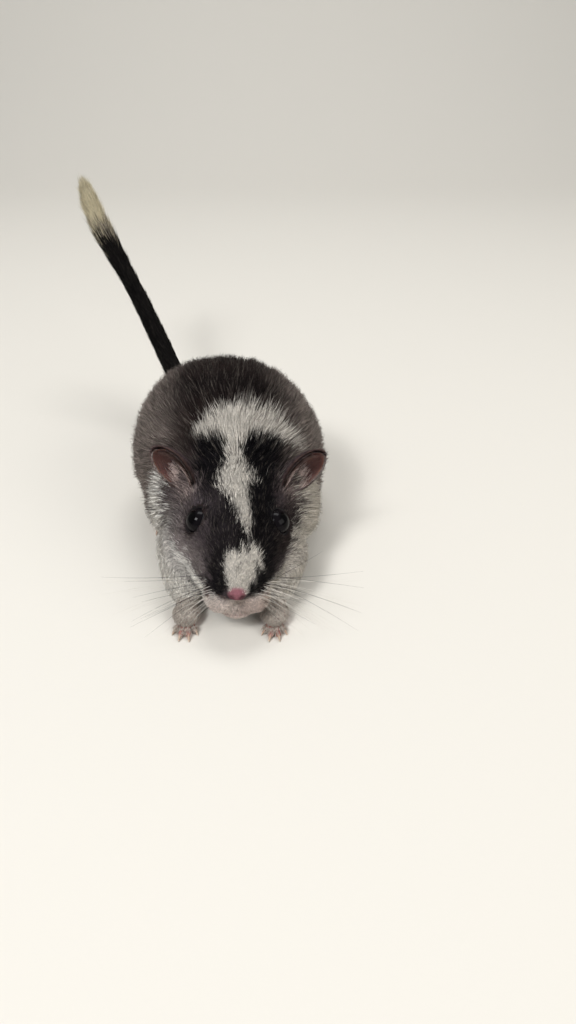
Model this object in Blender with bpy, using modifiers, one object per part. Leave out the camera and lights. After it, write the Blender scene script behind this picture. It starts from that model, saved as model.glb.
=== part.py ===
"""A life-size still model of a crouching Mongolian gerbil, head low, tail raised behind it.

Run it with: blender --background --python part.py
The solids give the outer form of the coat. The animal faces -Y, +Z is up, and the four feet stand on z = 0.
"Left" and "right" are the animal's own: its left side is at +X.
Sizes below are in millimetres; mesh points are written in metres.
"""

import math
import random

import bmesh
import bpy
import numpy as np
from mathutils import Euler, Matrix, Vector

MM = 0.001
GAP = 0.3  # between two pieces that touch
SIDES = {"right": -1, "left": 1}
ROUND_END = (math.radians(65), math.radians(33))  # the extra rings of a tube's round end

# Head. It has its own frame: x across, y back from the nose tip, z towards the crown.
NOSE_TIP = (0.4, 0.0, 14.5)
HEAD_PITCH = math.radians(10)  # nose down
HEAD_YAW = math.radians(2)
HEAD_ROLL = math.radians(3)
HEAD_SIDES = 24
HEAD_STEPS = 2
HEAD_CROWN_SHAPE = 1.62  # under 2 narrows the upper half of a section, over 2 squares it
HEAD_THROAT_SHAPE = 2.1
# back from the nose, half width, crown, widest level, throat
HEAD_STATIONS = (
    (0.8, 0.0, -0.6, -0.6, -0.6),
    (1.6, 2.6, 1.4, -1.0, -3.8),
    (4.0, 5.9, 3.4, -2.8, -7.4),
    (7.0, 8.4, 5.4, -3.8, -9.4),
    (11.0, 10.8, 7.8, -4.5, -10.9),
    (15.0, 12.8, 9.7, -4.9, -11.9),
    (20.0, 14.7, 11.3, -5.0, -12.7),
    (26.0, 16.9, 12.3, -4.6, -13.0),
    (32.0, 18.0, 12.4, -3.6, -12.6),
    (38.0, 16.6, 11.0, -2.6, -11.0),
    (42.5, 11.0, 7.4, -1.8, -8.0),
    (44.5, 0.0, -0.6, -0.6, -0.6),
)
NOSE_PAD = ((0.0, 1.7, -0.6), (2.3, 1.8, 1.7))
WHISKER_PAD = ((3.7, 5.4, -4.5), (4.2, 4.8, 4.2))
CHIN = ((0.0, 5.3, -8.1), (5.3, 5.2, 3.4))
CHEEK = ((10.6, 24.0, -4.8), (7.0, 11.5, 7.2))
NOSTRIL = ((1.25, 0.35, -0.75), (0.5, 1.2, 0.42))
NOSTRIL_TURN = math.radians(28)
PHILTRUM = ((0.0, 0.3, -2.2), (0.0, 1.5, -4.4), (0.0, 0.7, -6.8))
PHILTRUM_WIDTH = 0.3
MOUTH_WIDTH = 0.42
# the line of the mouth, from the middle of the upper lip to the corner
MOUTH_LINE = ((0.0, 0.4, -7.0), (2.6, 0.9, -7.2), (5.2, 3.2, -7.4), (7.0, 7.2, -8.0))

# Eyes
EYE_RADIUS = 3.4
EYE_BACK = 19.8
EYE_LEVEL = 4.5
EYE_SINK = 1.7  # from the eye's middle to the level of the skin
EYE_FORWARD = 0.22
LID_THICKNESS = 0.5
LID_REACH = 0.25  # from the eye's edge to the middle of the rim

# Ears
EAR_ROOT = (11.6, 30.0, 3.5)
EAR_DIRECTION = Vector((0.61, 0.28, 0.74)).normalized()
EAR_FACE = Vector((0.35, -0.93, 0.10))  # where the cup opens
EAR_LENGTH = 14.6
EAR_HALF_WIDTH = 4.4
EAR_BASE_NARROWING = 0.30
EAR_CUP = 3.0
EAR_CUP_SLANT = 0.5  # how much deeper the cup is at its lower end
EAR_THICKNESS = 0.8
EAR_RINGS = 5
EAR_SECTORS = 18

# Neck and torso: y, x of the middle, half width, top, widest level, bottom
NECK_STATIONS = (
    (19.5, -1.0, 0.0, 14.0, 14.0, 14.0),
    (21.0, -1.2, 9.5, 19.0, 13.5, 7.6),
    (26.0, -1.6, 19.6, 27.2, 13.0, 4.8),
    (31.5, -2.2, 22.8, 33.0, 14.6, 4.4),
    (37.0, -2.8, 23.8, 38.4, 17.0, 5.5),
    (42.0, -3.3, 18.5, 38.2, 19.0, 9.5),
    (44.5, -3.5, 0.0, 24.0, 24.0, 24.0),
)
TORSO_STATIONS = (
    (14.0, -0.9, 0.0, 10.0, 10.0, 10.0),
    (15.5, -1.0, 7.4, 14.0, 10.0, 6.2),
    (20.0, -1.4, 12.4, 18.0, 11.0, 3.8),
    (28.0, -2.0, 17.0, 25.0, 13.5, 2.6),
    (36.0, -2.8, 21.4, 34.6, 16.4, 2.1),
    (42.0, -3.4, 24.6, 41.2, 17.4, 1.9),
    (49.0, -4.2, 26.1, 44.8, 18.0, 1.9),
    (57.0, -5.0, 26.4, 46.0, 18.2, 1.9),
    (68.0, -6.0, 25.0, 43.2, 17.8, 2.1),
    (78.0, -7.0, 21.4, 36.2, 16.8, 2.8),
    (86.5, -8.0, 15.2, 27.0, 15.0, 4.6),
    (91.6, -8.7, 8.6, 19.6, 13.0, 7.2),
    (93.6, -9.0, 0.0, 12.8, 12.8, 12.8),
)
BODY_SIDES = 20
BODY_STEPS = 2
BODY_SHAPE = 2.15
NECK_SHAPE = 1.8

# Forelegs: x is counted outwards from the middle of the chest
CHEST_MIDDLE = -2.0
FORELEG_PATH = ((10.5, 26.0, 15.0), (13.4, 22.0, 12.0), (12.9, 16.0, 8.6), (10.9, 10.4, 4.7))
FORELEG_RADII = (6.0, 5.9, 4.9, 3.3)
PALM = ((10.8, 7.6, 2.2), (3.1, 4.0, 2.1))
FINGER_SPREAD = (-26, -8, 9, 27)  # degrees from straight ahead
FINGER_LENGTHS = (3.9, 4.7, 4.6, 3.8)
FINGER_SETBACK = (0.6, 0.0, 0.0, 0.6)
FINGER_THICKNESS = 0.95
FORE_CLAW = 1.9
FINGER_ROOT = 0.35  # of the palm's half length, ahead of its middle

# Hind legs: x is counted outwards from the middle of the belly
BELLY_MIDDLE = -5.4
BELLY_TURN = math.radians(4.5)  # the rump lies towards -X
THIGH = ((17.2, 61.0, 17.5), (10.0, 17.0, 14.0))
SHANK_PATH = ((17.6, 53.0, 9.5), (17.8, 63.0, 6.4), (16.6, 73.5, 4.2))
SHANK_RADII = (5.2, 4.2, 3.0)
FOOT_PATH = ((16.4, 77.0, 1.6), (16.8, 68.0, 1.55), (17.8, 59.0, 1.8), (18.4, 52.5, 1.9))
FOOT_RADII = (2.3, 2.2, 2.6, 2.9)
FOOT_FLATNESS = 0.78
TOE_SPREAD = (-34, -13, 0, 13, 30)
TOE_LENGTHS = (4.0, 8.0, 8.8, 8.2, 4.6)
TOE_SETBACK = (4.2, 0.6, 0.0, 0.5, 3.2)
TOE_THICKNESS = 1.0
HIND_CLAW = 2.4

# A finger or toe: shares of its length and its claw, then height and half thickness in its thickness.
# Its pad goes a little below the floor, where the cut leaves a small flat.
DIGIT_ROWS = (
    (0.0, 0.0, 1.30, 1.10),
    (0.55, 0.0, 1.40, 1.00),
    (1.0, 0.0, 0.64, 0.90),
    (1.0, 0.45, 0.80, 0.50),
    (1.0, 1.0, 0.30, 0.28),
)
FLOOR_BLOCK = (300.0, 300.0, 20.0)

# Tail: its line, its half thickness along it, and where it is parted
TAIL_LINE = (
    (-6.5, 84.0, 12.2),
    (-9.5, 91.4, 13.4),
    (-17.0, 96.6, 16.4),
    (-25.2, 101.0, 22.6),
    (-38.6, 120.6, 41.0),
    (-52.4, 138.8, 59.1),
    (-57.2, 146.2, 67.8),
)
TAIL_RADII = (3.5, 3.3, 3.0, 3.0, 3.4, 2.9, 2.0)
TAIL_PARTS = (("tail_base", 0.0, 3.2), ("tail_middle", 3.2, 4.35), ("tail_tuft", 4.35, 6.0))
TAIL_SIDES = 12
TAIL_STEP = 0.01  # the part of a row that a direction is taken over

# The brush at the end of the tail. Places along it are counted in rows of TAIL_LINE.
TUFT_CORE = 0.6  # of the tail's half thickness
TUFT_COLLAR = 0.25  # the start of the brush, as thick as the tail
TUFT_BARE = 0.25  # the end of the brush, which only the locks reach
TUFT_LOCKS = 28
TUFT_TURN = math.radians(137.5)
TUFT_CLOSING = 0.25  # how much shorter and lower the last locks lie
FIRST_LOCK = 0.1
LAST_LOCK = 0.08  # before the end of the core
LOCK_LENGTH = 14.0
LOCK_VARIATION = 0.15
LOCK_HALF_WIDTH = 1.6
LOCK_HALF_THICKNESS = 0.36
LOCK_REACH = 3.7  # from the tail's line to the outside of the brush
LOCK_SINK = 0.55
LOCK_HEEL = 0.4  # the lock's root, behind its first section
# shares of a lock's length, rise, half width and half thickness
LOCK_ROWS = (
    (0.0, 0.0, 1.0, 1.0),
    (0.4, 0.64, 0.9, 0.8),
    (0.75, 1.0, 0.5, 0.6),
)
LOCK_TIP_RISE = 0.9

COLOURS = {
    "coat_dark": (0.080, 0.066, 0.058),
    "coat_face": (0.060, 0.052, 0.050),
    "coat_white": (0.560, 0.520, 0.450),
    "coat_tail": (0.022, 0.018, 0.017),
    "coat_tip": (0.500, 0.450, 0.330),
    "ear_skin": (0.300, 0.150, 0.130),
    "paw_skin": (0.480, 0.260, 0.220),
    "eye_black": (0.006, 0.006, 0.008),
}


def clear_scene():
    for obj in list(bpy.data.objects):
        bpy.data.objects.remove(obj)


def material(slot):
    """The slot's material, made once."""
    found = bpy.data.materials.get(slot)
    if found:
        return found
    made = bpy.data.materials.new(slot)
    made.use_nodes = True
    shader = made.node_tree.nodes["Principled BSDF"]
    shader.inputs["Base Color"].default_value = (*COLOURS[slot], 1)
    shader.inputs["Roughness"].default_value = 0.08 if slot == "eye_black" else 0.8
    shader.inputs["Metallic"].default_value = 0
    return made


def mesh_object(name, points, faces):
    """A mesh from points in millimetres, linked to the scene."""
    mesh = bpy.data.meshes.new(name)
    mesh.from_pydata((np.asarray(points) * MM).tolist(), [], faces)
    mesh.validate()
    obj = bpy.data.objects.new(name, mesh)
    bpy.context.scene.collection.objects.link(obj)
    return obj


def smooth_table(table, steps):
    """Rows of a table joined by a cubic Hermite curve, whose slopes come from the neighbours."""
    rows = np.asarray(table, float)
    slopes = np.gradient(rows, axis=0)
    at = np.linspace(0, len(rows) - 1, (len(rows) - 1) * steps + 1)
    return read_curve(rows, slopes, at)


def read_curve(rows, slopes, at):
    """The Hermite curve through rows at the places `at`, counted in rows."""
    i = np.clip(np.floor(at).astype(int), 0, len(rows) - 2)
    t = (at - i)[:, None]
    return (
        (2 * t**3 - 3 * t**2 + 1) * rows[i]
        + (t**3 - 2 * t**2 + t) * slopes[i]
        + (3 * t**2 - 2 * t**3) * rows[i + 1]
        + (t**3 - t**2) * slopes[i + 1]
    )


def section(half_width, top, middle, bottom, sides, upper_shape, lower_shape):
    """A closed outline (across, up): two half superellipses that meet at the widest level."""
    turn = np.arange(sides) * 2 * math.pi / sides
    c, s = np.cos(turn), np.sin(turn)
    power = np.where(s >= 0, 2 / upper_shape, 2 / lower_shape)
    across = half_width * np.sign(c) * np.abs(c) ** power
    reach = np.where(s >= 0, top - middle, middle - bottom)
    return np.column_stack([across, middle + reach * np.sign(s) * np.abs(s) ** power])


def closed_rings(name, first, rings, last):
    """A closed mesh: equal rings joined by quads, and a fan to the first and last point."""
    count, sides = len(rings), len(rings[0])
    points = np.vstack([[first], np.concatenate(rings), [last]])
    faces = []
    for i in range(sides):
        j = (i + 1) % sides
        faces.append((0, 1 + i, 1 + j))
        for r in range(count - 1):
            a, b = 1 + r * sides, 1 + (r + 1) * sides
            faces.append((a + i, b + i, b + j, a + j))
        end = 1 + (count - 1) * sides
        faces.append((len(points) - 1, end + j, end + i))
    obj = mesh_object(name, points, faces)
    face_outwards(obj.data)
    return obj


def face_outwards(mesh):
    work = bmesh.new()
    work.from_mesh(mesh)
    bmesh.ops.recalc_face_normals(work, faces=work.faces)
    if work.calc_volume(signed=True) < 0:
        bmesh.ops.reverse_faces(work, faces=work.faces)
    work.to_mesh(mesh)
    work.free()


def body_loft(name, stations, shape, grow=0.0):
    """A body form of upright sections along Y, made larger all round by grow."""
    rows = smooth_table(stations, BODY_STEPS)
    rings = []
    for y, x, half, top, middle, bottom in rows[1:-1]:
        ring = section(
            half + grow, top + grow, middle, bottom - grow, BODY_SIDES, shape, BODY_SHAPE
        )
        rings.append(np.column_stack([ring[:, 0] + x, np.full(BODY_SIDES, y), ring[:, 1]]))
    start, end = rows[0], rows[-1]
    first = (start[1], start[0] - grow, start[4])
    last = (end[1], end[0] + grow, end[4])
    return closed_rings(name, first, rings, last)


def head_matrix():
    turn = Euler((HEAD_PITCH, HEAD_ROLL, HEAD_YAW), "YXZ").to_matrix().to_4x4()
    return Matrix.Translation(Vector(NOSE_TIP) * MM) @ turn


def head_loft(name, grow=0.0):
    """The head without its small features, in the head's frame."""
    rows = smooth_table(HEAD_STATIONS, HEAD_STEPS)
    rings = []
    for back, half, crown, middle, throat in rows[1:-1]:
        ring = section(
            half + grow,
            crown + grow,
            middle,
            throat - grow,
            HEAD_SIDES,
            HEAD_CROWN_SHAPE,
            HEAD_THROAT_SHAPE,
        )
        rings.append(np.column_stack([ring[:, 0], np.full(HEAD_SIDES, back), ring[:, 1]]))
    first = (0, rows[0][0] - grow, rows[0][3])
    last = (0, rows[-1][0] + grow, rows[-1][3])
    return closed_rings(name, first, rings, last)


def ellipsoid(name, centre, radii, turn=0.0, grow=0.0, segments=14, rings=8):
    """A ball scaled to three radii, turned about Z, centred where it belongs."""
    work = bmesh.new()
    bmesh.ops.create_uvsphere(work, u_segments=segments, v_segments=rings, radius=1)
    scale = Matrix.Diagonal((*[(r + grow) * MM for r in radii], 1))
    place = Matrix.Translation(Vector(centre) * MM)
    bmesh.ops.transform(work, matrix=place @ Matrix.Rotation(turn, 4, "Z") @ scale, verts=work.verts)
    mesh = bpy.data.meshes.new(name)
    work.to_mesh(mesh)
    work.free()
    obj = bpy.data.objects.new(name, mesh)
    bpy.context.scene.collection.objects.link(obj)
    return obj


def paired(spec, side):
    """A (centre, radii) pair moved to one side of the middle plane."""
    (x, y, z), radii = spec
    return (side * x, y, z), radii


def sweep(name, path, radii, sides=12, flat=1.0, grow=0.0, steps=3):
    """A tube along a smooth path with round ends. `flat` scales its height."""
    rows = smooth_table(np.column_stack([path, radii]), steps)
    line, half = rows[:, :3], rows[:, 3] + grow
    along = np.gradient(line, axis=0)
    along /= np.linalg.norm(along, axis=1)[:, None]
    across = np.cross(along, (0.0, 0.0, 1.0))
    across /= np.linalg.norm(across, axis=1)[:, None]
    up = np.cross(across, along)
    turn = np.arange(sides) * 2 * math.pi / sides

    def ring(centre, i, radius):
        return (
            centre
            + radius * np.cos(turn)[:, None] * across[i]
            + radius * flat * np.sin(turn)[:, None] * up[i]
        )

    last = len(line) - 1
    start_reach = along[0] * half[0]
    end_reach = along[last] * half[last]
    rings = [
        ring(line[0] - start_reach * math.sin(a), 0, half[0] * math.cos(a)) for a in ROUND_END
    ]
    rings += [ring(line[i], i, half[i]) for i in range(last + 1)]
    rings += [
        ring(line[last] + end_reach * math.sin(a), last, half[last] * math.cos(a))
        for a in reversed(ROUND_END)
    ]
    return closed_rings(name, line[0] - start_reach, rings, line[last] + end_reach)


def triangulate(mesh):
    """Makes every face a plane, so that a cut face keeps its shape."""
    work = bmesh.new()
    work.from_mesh(mesh)
    bmesh.ops.triangulate(work, faces=work.faces)
    work.to_mesh(mesh)
    work.free()


def move(obj, matrix):
    obj.data.transform(matrix)
    return obj


def boolean(base, others, operation):
    """Joins or cuts base by other closed meshes in one step, applies it and removes them."""
    for obj in (base, *others):
        triangulate(obj.data)
    tools = bpy.data.collections.new("tools")
    bpy.context.scene.collection.children.link(tools)
    for other in others:
        tools.objects.link(other)
    modifier = base.modifiers.new("joined", "BOOLEAN")
    modifier.operand_type = "COLLECTION"
    modifier.collection = tools
    modifier.operation = operation
    modifier.solver = "EXACT"
    bpy.context.view_layer.update()
    graph = bpy.context.evaluated_depsgraph_get()
    mesh = bpy.data.meshes.new_from_object(base.evaluated_get(graph))
    base.modifiers.clear()
    base.data = mesh
    for other in others:
        bpy.data.objects.remove(other)
    bpy.data.collections.remove(tools)
    keep_largest(mesh)
    return base


def keep_largest(mesh):
    """Keeps the closed surface of the greatest volume and drops the rest."""
    work = bmesh.new()
    work.from_mesh(mesh)
    bmesh.ops.triangulate(work, faces=work.faces)
    left, shells = set(work.faces), []
    while left:
        shell, edge = set(), [left.pop()]
        while edge:
            face = edge.pop()
            shell.add(face)
            for near in (f for e in face.edges for f in e.link_faces if f in left):
                left.discard(near)
                edge.append(near)
        shells.append(shell)

    def volume(shell):
        return sum(f.verts[0].co.dot(f.verts[1].co.cross(f.verts[2].co)) for f in shell)

    best = max(shells, key=volume)
    loose = [f for shell in shells if shell is not best for f in shell]
    bmesh.ops.delete(work, geom=loose, context="FACES")
    work.to_mesh(mesh)
    work.free()


def finish(obj, name, slot):
    obj.name = obj.data.name = name
    obj.data.materials.clear()
    obj.data.materials.append(material(slot))
    obj.data.shade_smooth()
    obj.data.set_sharp_from_angle(angle=math.radians(50))
    return obj


def head_point(back, level):
    """A place on the head's side, by distance back and level, and the way out there."""
    rows = smooth_table(HEAD_STATIONS, HEAD_STEPS)
    half, crown, middle = (np.interp(back, rows[:, 0], rows[:, i]) for i in (1, 2, 3))
    n = HEAD_CROWN_SHAPE
    rise = (level - middle) / (crown - middle)
    x = half * (1 - rise**n) ** (1 / n)
    out = Vector(((x / half) ** (n - 1) / half, 0, rise ** (n - 1) / (crown - middle)))
    return Vector((x, back, level)), out.normalized()


def eye_place(side):
    """The eye's middle and the way it looks, in the head's frame."""
    point, out = head_point(EYE_BACK, EYE_LEVEL)
    look = (out + Vector((0, -EYE_FORWARD, 0))).normalized()
    centre = point - look * EYE_SINK
    return Vector((side * centre.x, centre.y, centre.z)), Vector((side * look.x, look.y, look.z))


def lid(side):
    """The rim of the lids: a ring round the eye where it leaves the skin."""
    centre, look = eye_place(side)
    ring_radius = math.sqrt(EYE_RADIUS**2 - EYE_SINK**2) + LID_REACH
    bpy.ops.mesh.primitive_torus_add(
        major_radius=ring_radius * MM,
        minor_radius=LID_THICKNESS * MM,
        major_segments=16,
        minor_segments=4,
    )
    ring = bpy.context.object
    place = Matrix.Translation((centre + look * EYE_SINK) * MM)
    return move(ring, place @ look.to_track_quat("Z", "Y").to_matrix().to_4x4())


def head_form(name, grow=0.0):
    """The head with its cheeks, in its own frame."""
    base = head_loft(name, grow)
    cheeks = [ellipsoid("cheek", *paired(CHEEK, side), grow=grow) for side in SIDES.values()]
    return boolean(base, cheeks, "UNION")


def head():
    base = head_form("head")
    pieces = [ellipsoid("nose", *NOSE_PAD), ellipsoid("chin", *CHIN)]
    for side in SIDES.values():
        pieces += [ellipsoid("pad", *paired(WHISKER_PAD, side)), lid(side)]
    boolean(base, pieces, "UNION")
    cutters = []
    for side in SIDES.values():
        cutters.append(
            ellipsoid("nostril", *paired(NOSTRIL, side), turn=-side * NOSTRIL_TURN, segments=8, rings=6)
        )
        centre, _ = eye_place(side)
        cutters.append(
            ellipsoid("socket", centre, (EYE_RADIUS,) * 3, grow=GAP, segments=16, rings=8)
        )
    half_mouth = np.array(MOUTH_LINE)
    mouth = np.vstack([half_mouth[:0:-1] * (-1, 1, 1), half_mouth])
    cutters.append(sweep("mouth", mouth, [MOUTH_WIDTH] * len(mouth), sides=5, steps=1))
    cutters.append(sweep("philtrum", PHILTRUM, [PHILTRUM_WIDTH] * len(PHILTRUM), sides=5, steps=1))
    boolean(base, cutters, "DIFFERENCE")
    move(base, head_matrix())
    return finish(base, "head", "coat_face")


def grown_head():
    """The head's form made larger by the gap, to cut what the head meets."""
    return move(head_form("head_cutter", GAP), head_matrix())


def eye(name, side):
    centre, _ = eye_place(side)
    ball = ellipsoid(name, centre, (EYE_RADIUS,) * 3, segments=16, rings=8)
    move(ball, head_matrix())
    return finish(ball, name, "eye_black")


def ear(name, side):
    """An oval cup, cut to the head and neck. Its hollow opens forwards and outwards."""
    face = (EAR_FACE - EAR_FACE.project(EAR_DIRECTION)).normalized()
    across = EAR_DIRECTION.cross(face)
    points, faces = [], []
    for i in range(EAR_RINGS + 1):
        share = i / EAR_RINGS
        for j in range(EAR_SECTORS if i else 1):
            turn = j * 2 * math.pi / EAR_SECTORS
            up = 0.5 - 0.5 * share * math.cos(turn)
            wide = EAR_HALF_WIDTH * (1 - EAR_BASE_NARROWING * (1 - up) ** 2)
            deep = EAR_CUP * (1 - share**2) * (1 + EAR_CUP_SLANT * (1 - up))
            point = (
                Vector(EAR_ROOT)
                + EAR_DIRECTION * EAR_LENGTH * up
                + across * wide * share * math.sin(turn)
                - face * deep
            )
            points.append((side * point.x, point.y, point.z))
    for j in range(EAR_SECTORS):
        k = (j + 1) % EAR_SECTORS
        faces.append((0, 1 + j, 1 + k))
        for i in range(EAR_RINGS - 1):
            a, b = 1 + i * EAR_SECTORS, 1 + (i + 1) * EAR_SECTORS
            faces.append((a + j, b + j, b + k, a + k))
    cup = mesh_object(name, points, faces)
    shell = cup.modifiers.new("thickness", "SOLIDIFY")
    shell.thickness = EAR_THICKNESS * MM
    shell.offset = 0
    bpy.context.view_layer.update()
    cup.data = bpy.data.meshes.new_from_object(cup.evaluated_get(bpy.context.evaluated_depsgraph_get()))
    cup.modifiers.clear()
    face_outwards(cup.data)
    move(cup, head_matrix())
    boolean(cup, [grown_head(), neck_form(GAP)], "DIFFERENCE")
    return finish(cup, name, "ear_skin")


def outward(points, middle, side):
    """Points whose x is counted outwards from a middle, put on one side."""
    moved = np.array(points, float)
    moved[:, 0] = middle + side * moved[:, 0]
    return moved


def digits(root, heading, spread, lengths, setback, thickness, claw, side):
    """Toes or fingers that fan from a point: each arches to the floor and narrows to a claw."""
    made = []
    for angle, length, back in zip(spread, lengths, setback, strict=True):
        turn = heading + math.radians(side * angle)
        ahead = np.array((math.sin(turn), -math.cos(turn), 0.0))
        start = np.array((root[0], root[1] + back, 0.0))
        line = [
            start + ahead * (length * bone + claw * nail) + (0, 0, thickness * height)
            for bone, nail, height, _ in DIGIT_ROWS
        ]
        radii = [thickness * row[3] for row in DIGIT_ROWS]
        made.append(sweep("digit", line, radii, sides=5, steps=1))
    return made


def floor_cutter():
    """A block whose top face is the floor."""
    bpy.ops.mesh.primitive_cube_add(size=1)
    size = Vector(FLOOR_BLOCK) * MM
    place = Matrix.Translation((0, 0, -size.z / 2)) @ Matrix.Diagonal((*size, 1))
    return move(bpy.context.object, place)


def foreleg_form(side, grow=0.0):
    return sweep(
        "foreleg", outward(FORELEG_PATH, CHEST_MIDDLE, side), FORELEG_RADII, steps=2, grow=grow
    )


def palm_form(side, grow=0.0):
    (x, y, z), radii = PALM
    return ellipsoid("palm", (CHEST_MIDDLE + side * x, y, z), radii, grow=grow)


def forepaw(name, side):
    base = palm_form(side)
    (x, y, z), radii = PALM
    root = (CHEST_MIDDLE + side * x, y - radii[1] * FINGER_ROOT, z)
    pieces = digits(
        root,
        0.0,
        FINGER_SPREAD,
        FINGER_LENGTHS,
        FINGER_SETBACK,
        FINGER_THICKNESS,
        FORE_CLAW,
        side,
    )
    boolean(base, pieces, "UNION")
    boolean(base, [floor_cutter()], "DIFFERENCE")
    return finish(base, name, "paw_skin")


def foreleg(name, side):
    base = foreleg_form(side)
    boolean(base, [palm_form(side, GAP), grown_head()], "DIFFERENCE")
    return finish(base, name, "coat_white")


def slant():
    """Turns the hind legs with the rump."""
    pivot = Matrix.Translation((BELLY_MIDDLE * MM, THIGH[0][1] * MM, 0))
    return pivot @ Matrix.Rotation(BELLY_TURN, 4, "Z") @ pivot.inverted()


def thigh_form(side, grow=0.0):
    (x, y, z), radii = THIGH
    ball = ellipsoid(
        "thigh", (BELLY_MIDDLE + side * x, y, z), radii, grow=grow, segments=18, rings=10
    )
    return move(ball, slant())


def shank_form(side, grow=0.0):
    path = outward(SHANK_PATH, BELLY_MIDDLE, side)
    return move(sweep("shank", path, SHANK_RADII, steps=2, grow=grow), slant())


def foot_form(side, grow=0.0):
    path = outward(FOOT_PATH, BELLY_MIDDLE, side)
    tube = sweep("foot", path, FOOT_RADII, flat=FOOT_FLATNESS, steps=2, grow=grow)
    return move(tube, slant())


def hind_leg(name, side):
    base = boolean(thigh_form(side), [shank_form(side)], "UNION")
    boolean(base, [foot_form(side, GAP), floor_cutter()], "DIFFERENCE")
    return finish(base, name, "coat_dark")


def hind_foot(name, side):
    base = foot_form(side)
    path = outward(FOOT_PATH, BELLY_MIDDLE, side)
    ahead = path[-1] - path[-2]
    heading = math.atan2(ahead[0], -ahead[1])
    pieces = digits(
        path[-1], heading, TOE_SPREAD, TOE_LENGTHS, TOE_SETBACK, TOE_THICKNESS, HIND_CLAW, side
    )
    boolean(base, [move(piece, slant()) for piece in pieces], "UNION")
    boolean(base, [floor_cutter()], "DIFFERENCE")
    return finish(base, name, "paw_skin")


def tail_curve(at):
    """The tail's line and half thickness at places counted in rows of TAIL_LINE."""
    rows = np.column_stack([TAIL_LINE, TAIL_RADII])
    return read_curve(rows, np.gradient(rows, axis=0), np.asarray(at, float))


def tail_way(at):
    """The direction of the tail's line at places counted in rows of TAIL_LINE."""
    at = np.asarray(at, float)
    way = tail_curve(at + TAIL_STEP)[:, :3] - tail_curve(at - TAIL_STEP)[:, :3]
    return way / np.linalg.norm(way, axis=1)[:, None]


def tail_length(name, start, end, scale=1.0, grow=0.0, rings=9):
    """A stretch of the tail, flat at both ends."""
    places = np.linspace(start, end, rings)
    rows = tail_curve(places)
    line, half = rows[:, :3], rows[:, 3] * scale + grow
    along = tail_way(places)
    across = np.cross(along, (0.0, 0.0, 1.0))
    across /= np.linalg.norm(across, axis=1)[:, None]
    up = np.cross(across, along)
    turn = np.arange(TAIL_SIDES) * 2 * math.pi / TAIL_SIDES
    circles = [
        line[i] + half[i] * (np.cos(turn)[:, None] * across[i] + np.sin(turn)[:, None] * up[i])
        for i in range(rings)
    ]
    return closed_rings(name, line[0], circles, line[-1])


def parting():
    """How far along the table half the gap between two lengths of tail reaches."""
    a, b = tail_curve([4.0, 4.0 + TAIL_STEP])[:, :3]
    return TAIL_STEP * 0.5 * GAP / np.linalg.norm(b - a)


def tail_part(name, start, end):
    cut = parting()
    base = tail_length(name, start + (cut if start else 0), end - cut)
    return finish(base, name, "coat_tail")


def lock(place, turn, spread, rng):
    """A flat, tapered lock of the tail's brush: it leaves the core, bends and lies along the tail."""
    length = LOCK_LENGTH * spread * rng.uniform(1 - LOCK_VARIATION, 1 + LOCK_VARIATION)
    here = tail_curve([place])[0]
    along = Vector(tail_way([place])[0])
    across = along.cross(Vector((0, 0, 1))).normalized()
    out = across * math.cos(turn) + along.cross(across) * math.sin(turn)
    side = along.cross(out)
    core = here[3] * TUFT_CORE
    rise = (LOCK_REACH - core + LOCK_SINK) * spread
    start = Vector(here[:3]) + out * (core - LOCK_SINK)
    rings = []
    for share, lift, width, depth in LOCK_ROWS:
        middle = start + along * length * share + out * rise * lift
        wide = side * LOCK_HALF_WIDTH * width
        thick = out * LOCK_HALF_THICKNESS * depth
        rings.append([middle + wide, middle + thick, middle - wide, middle - thick])
    tip = start + along * length + out * rise * LOCK_TIP_RISE
    return closed_rings("lock", start - along * LOCK_HEEL, np.array(rings), tip)


def tuft(name, start, end):
    """The end of the tail: a thin core and the brush of locks round it."""
    rng = random.Random(7)
    root = start + parting()
    core_end = end - TUFT_BARE
    pieces = [tail_length("collar", root, start + TUFT_COLLAR, rings=3)]
    for i, place in enumerate(np.linspace(start + FIRST_LOCK, core_end - LAST_LOCK, TUFT_LOCKS)):
        spread = 1.0 - TUFT_CLOSING * (i / TUFT_LOCKS) ** 3
        pieces.append(lock(place, i * TUFT_TURN, spread, rng))
    base = tail_length(name, root, core_end, scale=TUFT_CORE, rings=8)
    boolean(base, pieces, "UNION")
    return finish(base, name, "coat_tip")


def neck_form(grow=0.0):
    return body_loft("neck", NECK_STATIONS, NECK_SHAPE, grow)


def neck():
    base = neck_form()
    cutters = [grown_head()]
    for side in SIDES.values():
        cutters += [foreleg_form(side, GAP), thigh_form(side, GAP)]
    boolean(base, cutters, "DIFFERENCE")
    return finish(base, "neck", "coat_white")


def torso():
    base = body_loft("torso", TORSO_STATIONS, BODY_SHAPE)
    cutters = [
        grown_head(),
        neck_form(GAP),
        tail_length("tail_cutter", -0.04, 2.0, grow=GAP),
    ]
    for side in SIDES.values():
        cutters += [foreleg_form(side, GAP), thigh_form(side, GAP), shank_form(side, GAP)]
        cutters += [foot_form(side, GAP), palm_form(side, GAP)]
    for cutter in cutters:
        boolean(base, [cutter], "DIFFERENCE")
    return finish(base, "torso", "coat_dark")


def centre_on_floor():
    """Moves every piece so that the origin is under the middle of the whole, at floor level."""
    parts = [o for o in bpy.context.scene.objects if o.type == "MESH"]
    corners = np.array([o.matrix_world @ v.co for o in parts for v in o.data.vertices])
    low, high = corners.min(axis=0), corners.max(axis=0)
    shift = Vector((-(low[0] + high[0]) / 2, -(low[1] + high[1]) / 2, -low[2]))
    for part in parts:
        part.data.transform(Matrix.Translation(shift))


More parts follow.
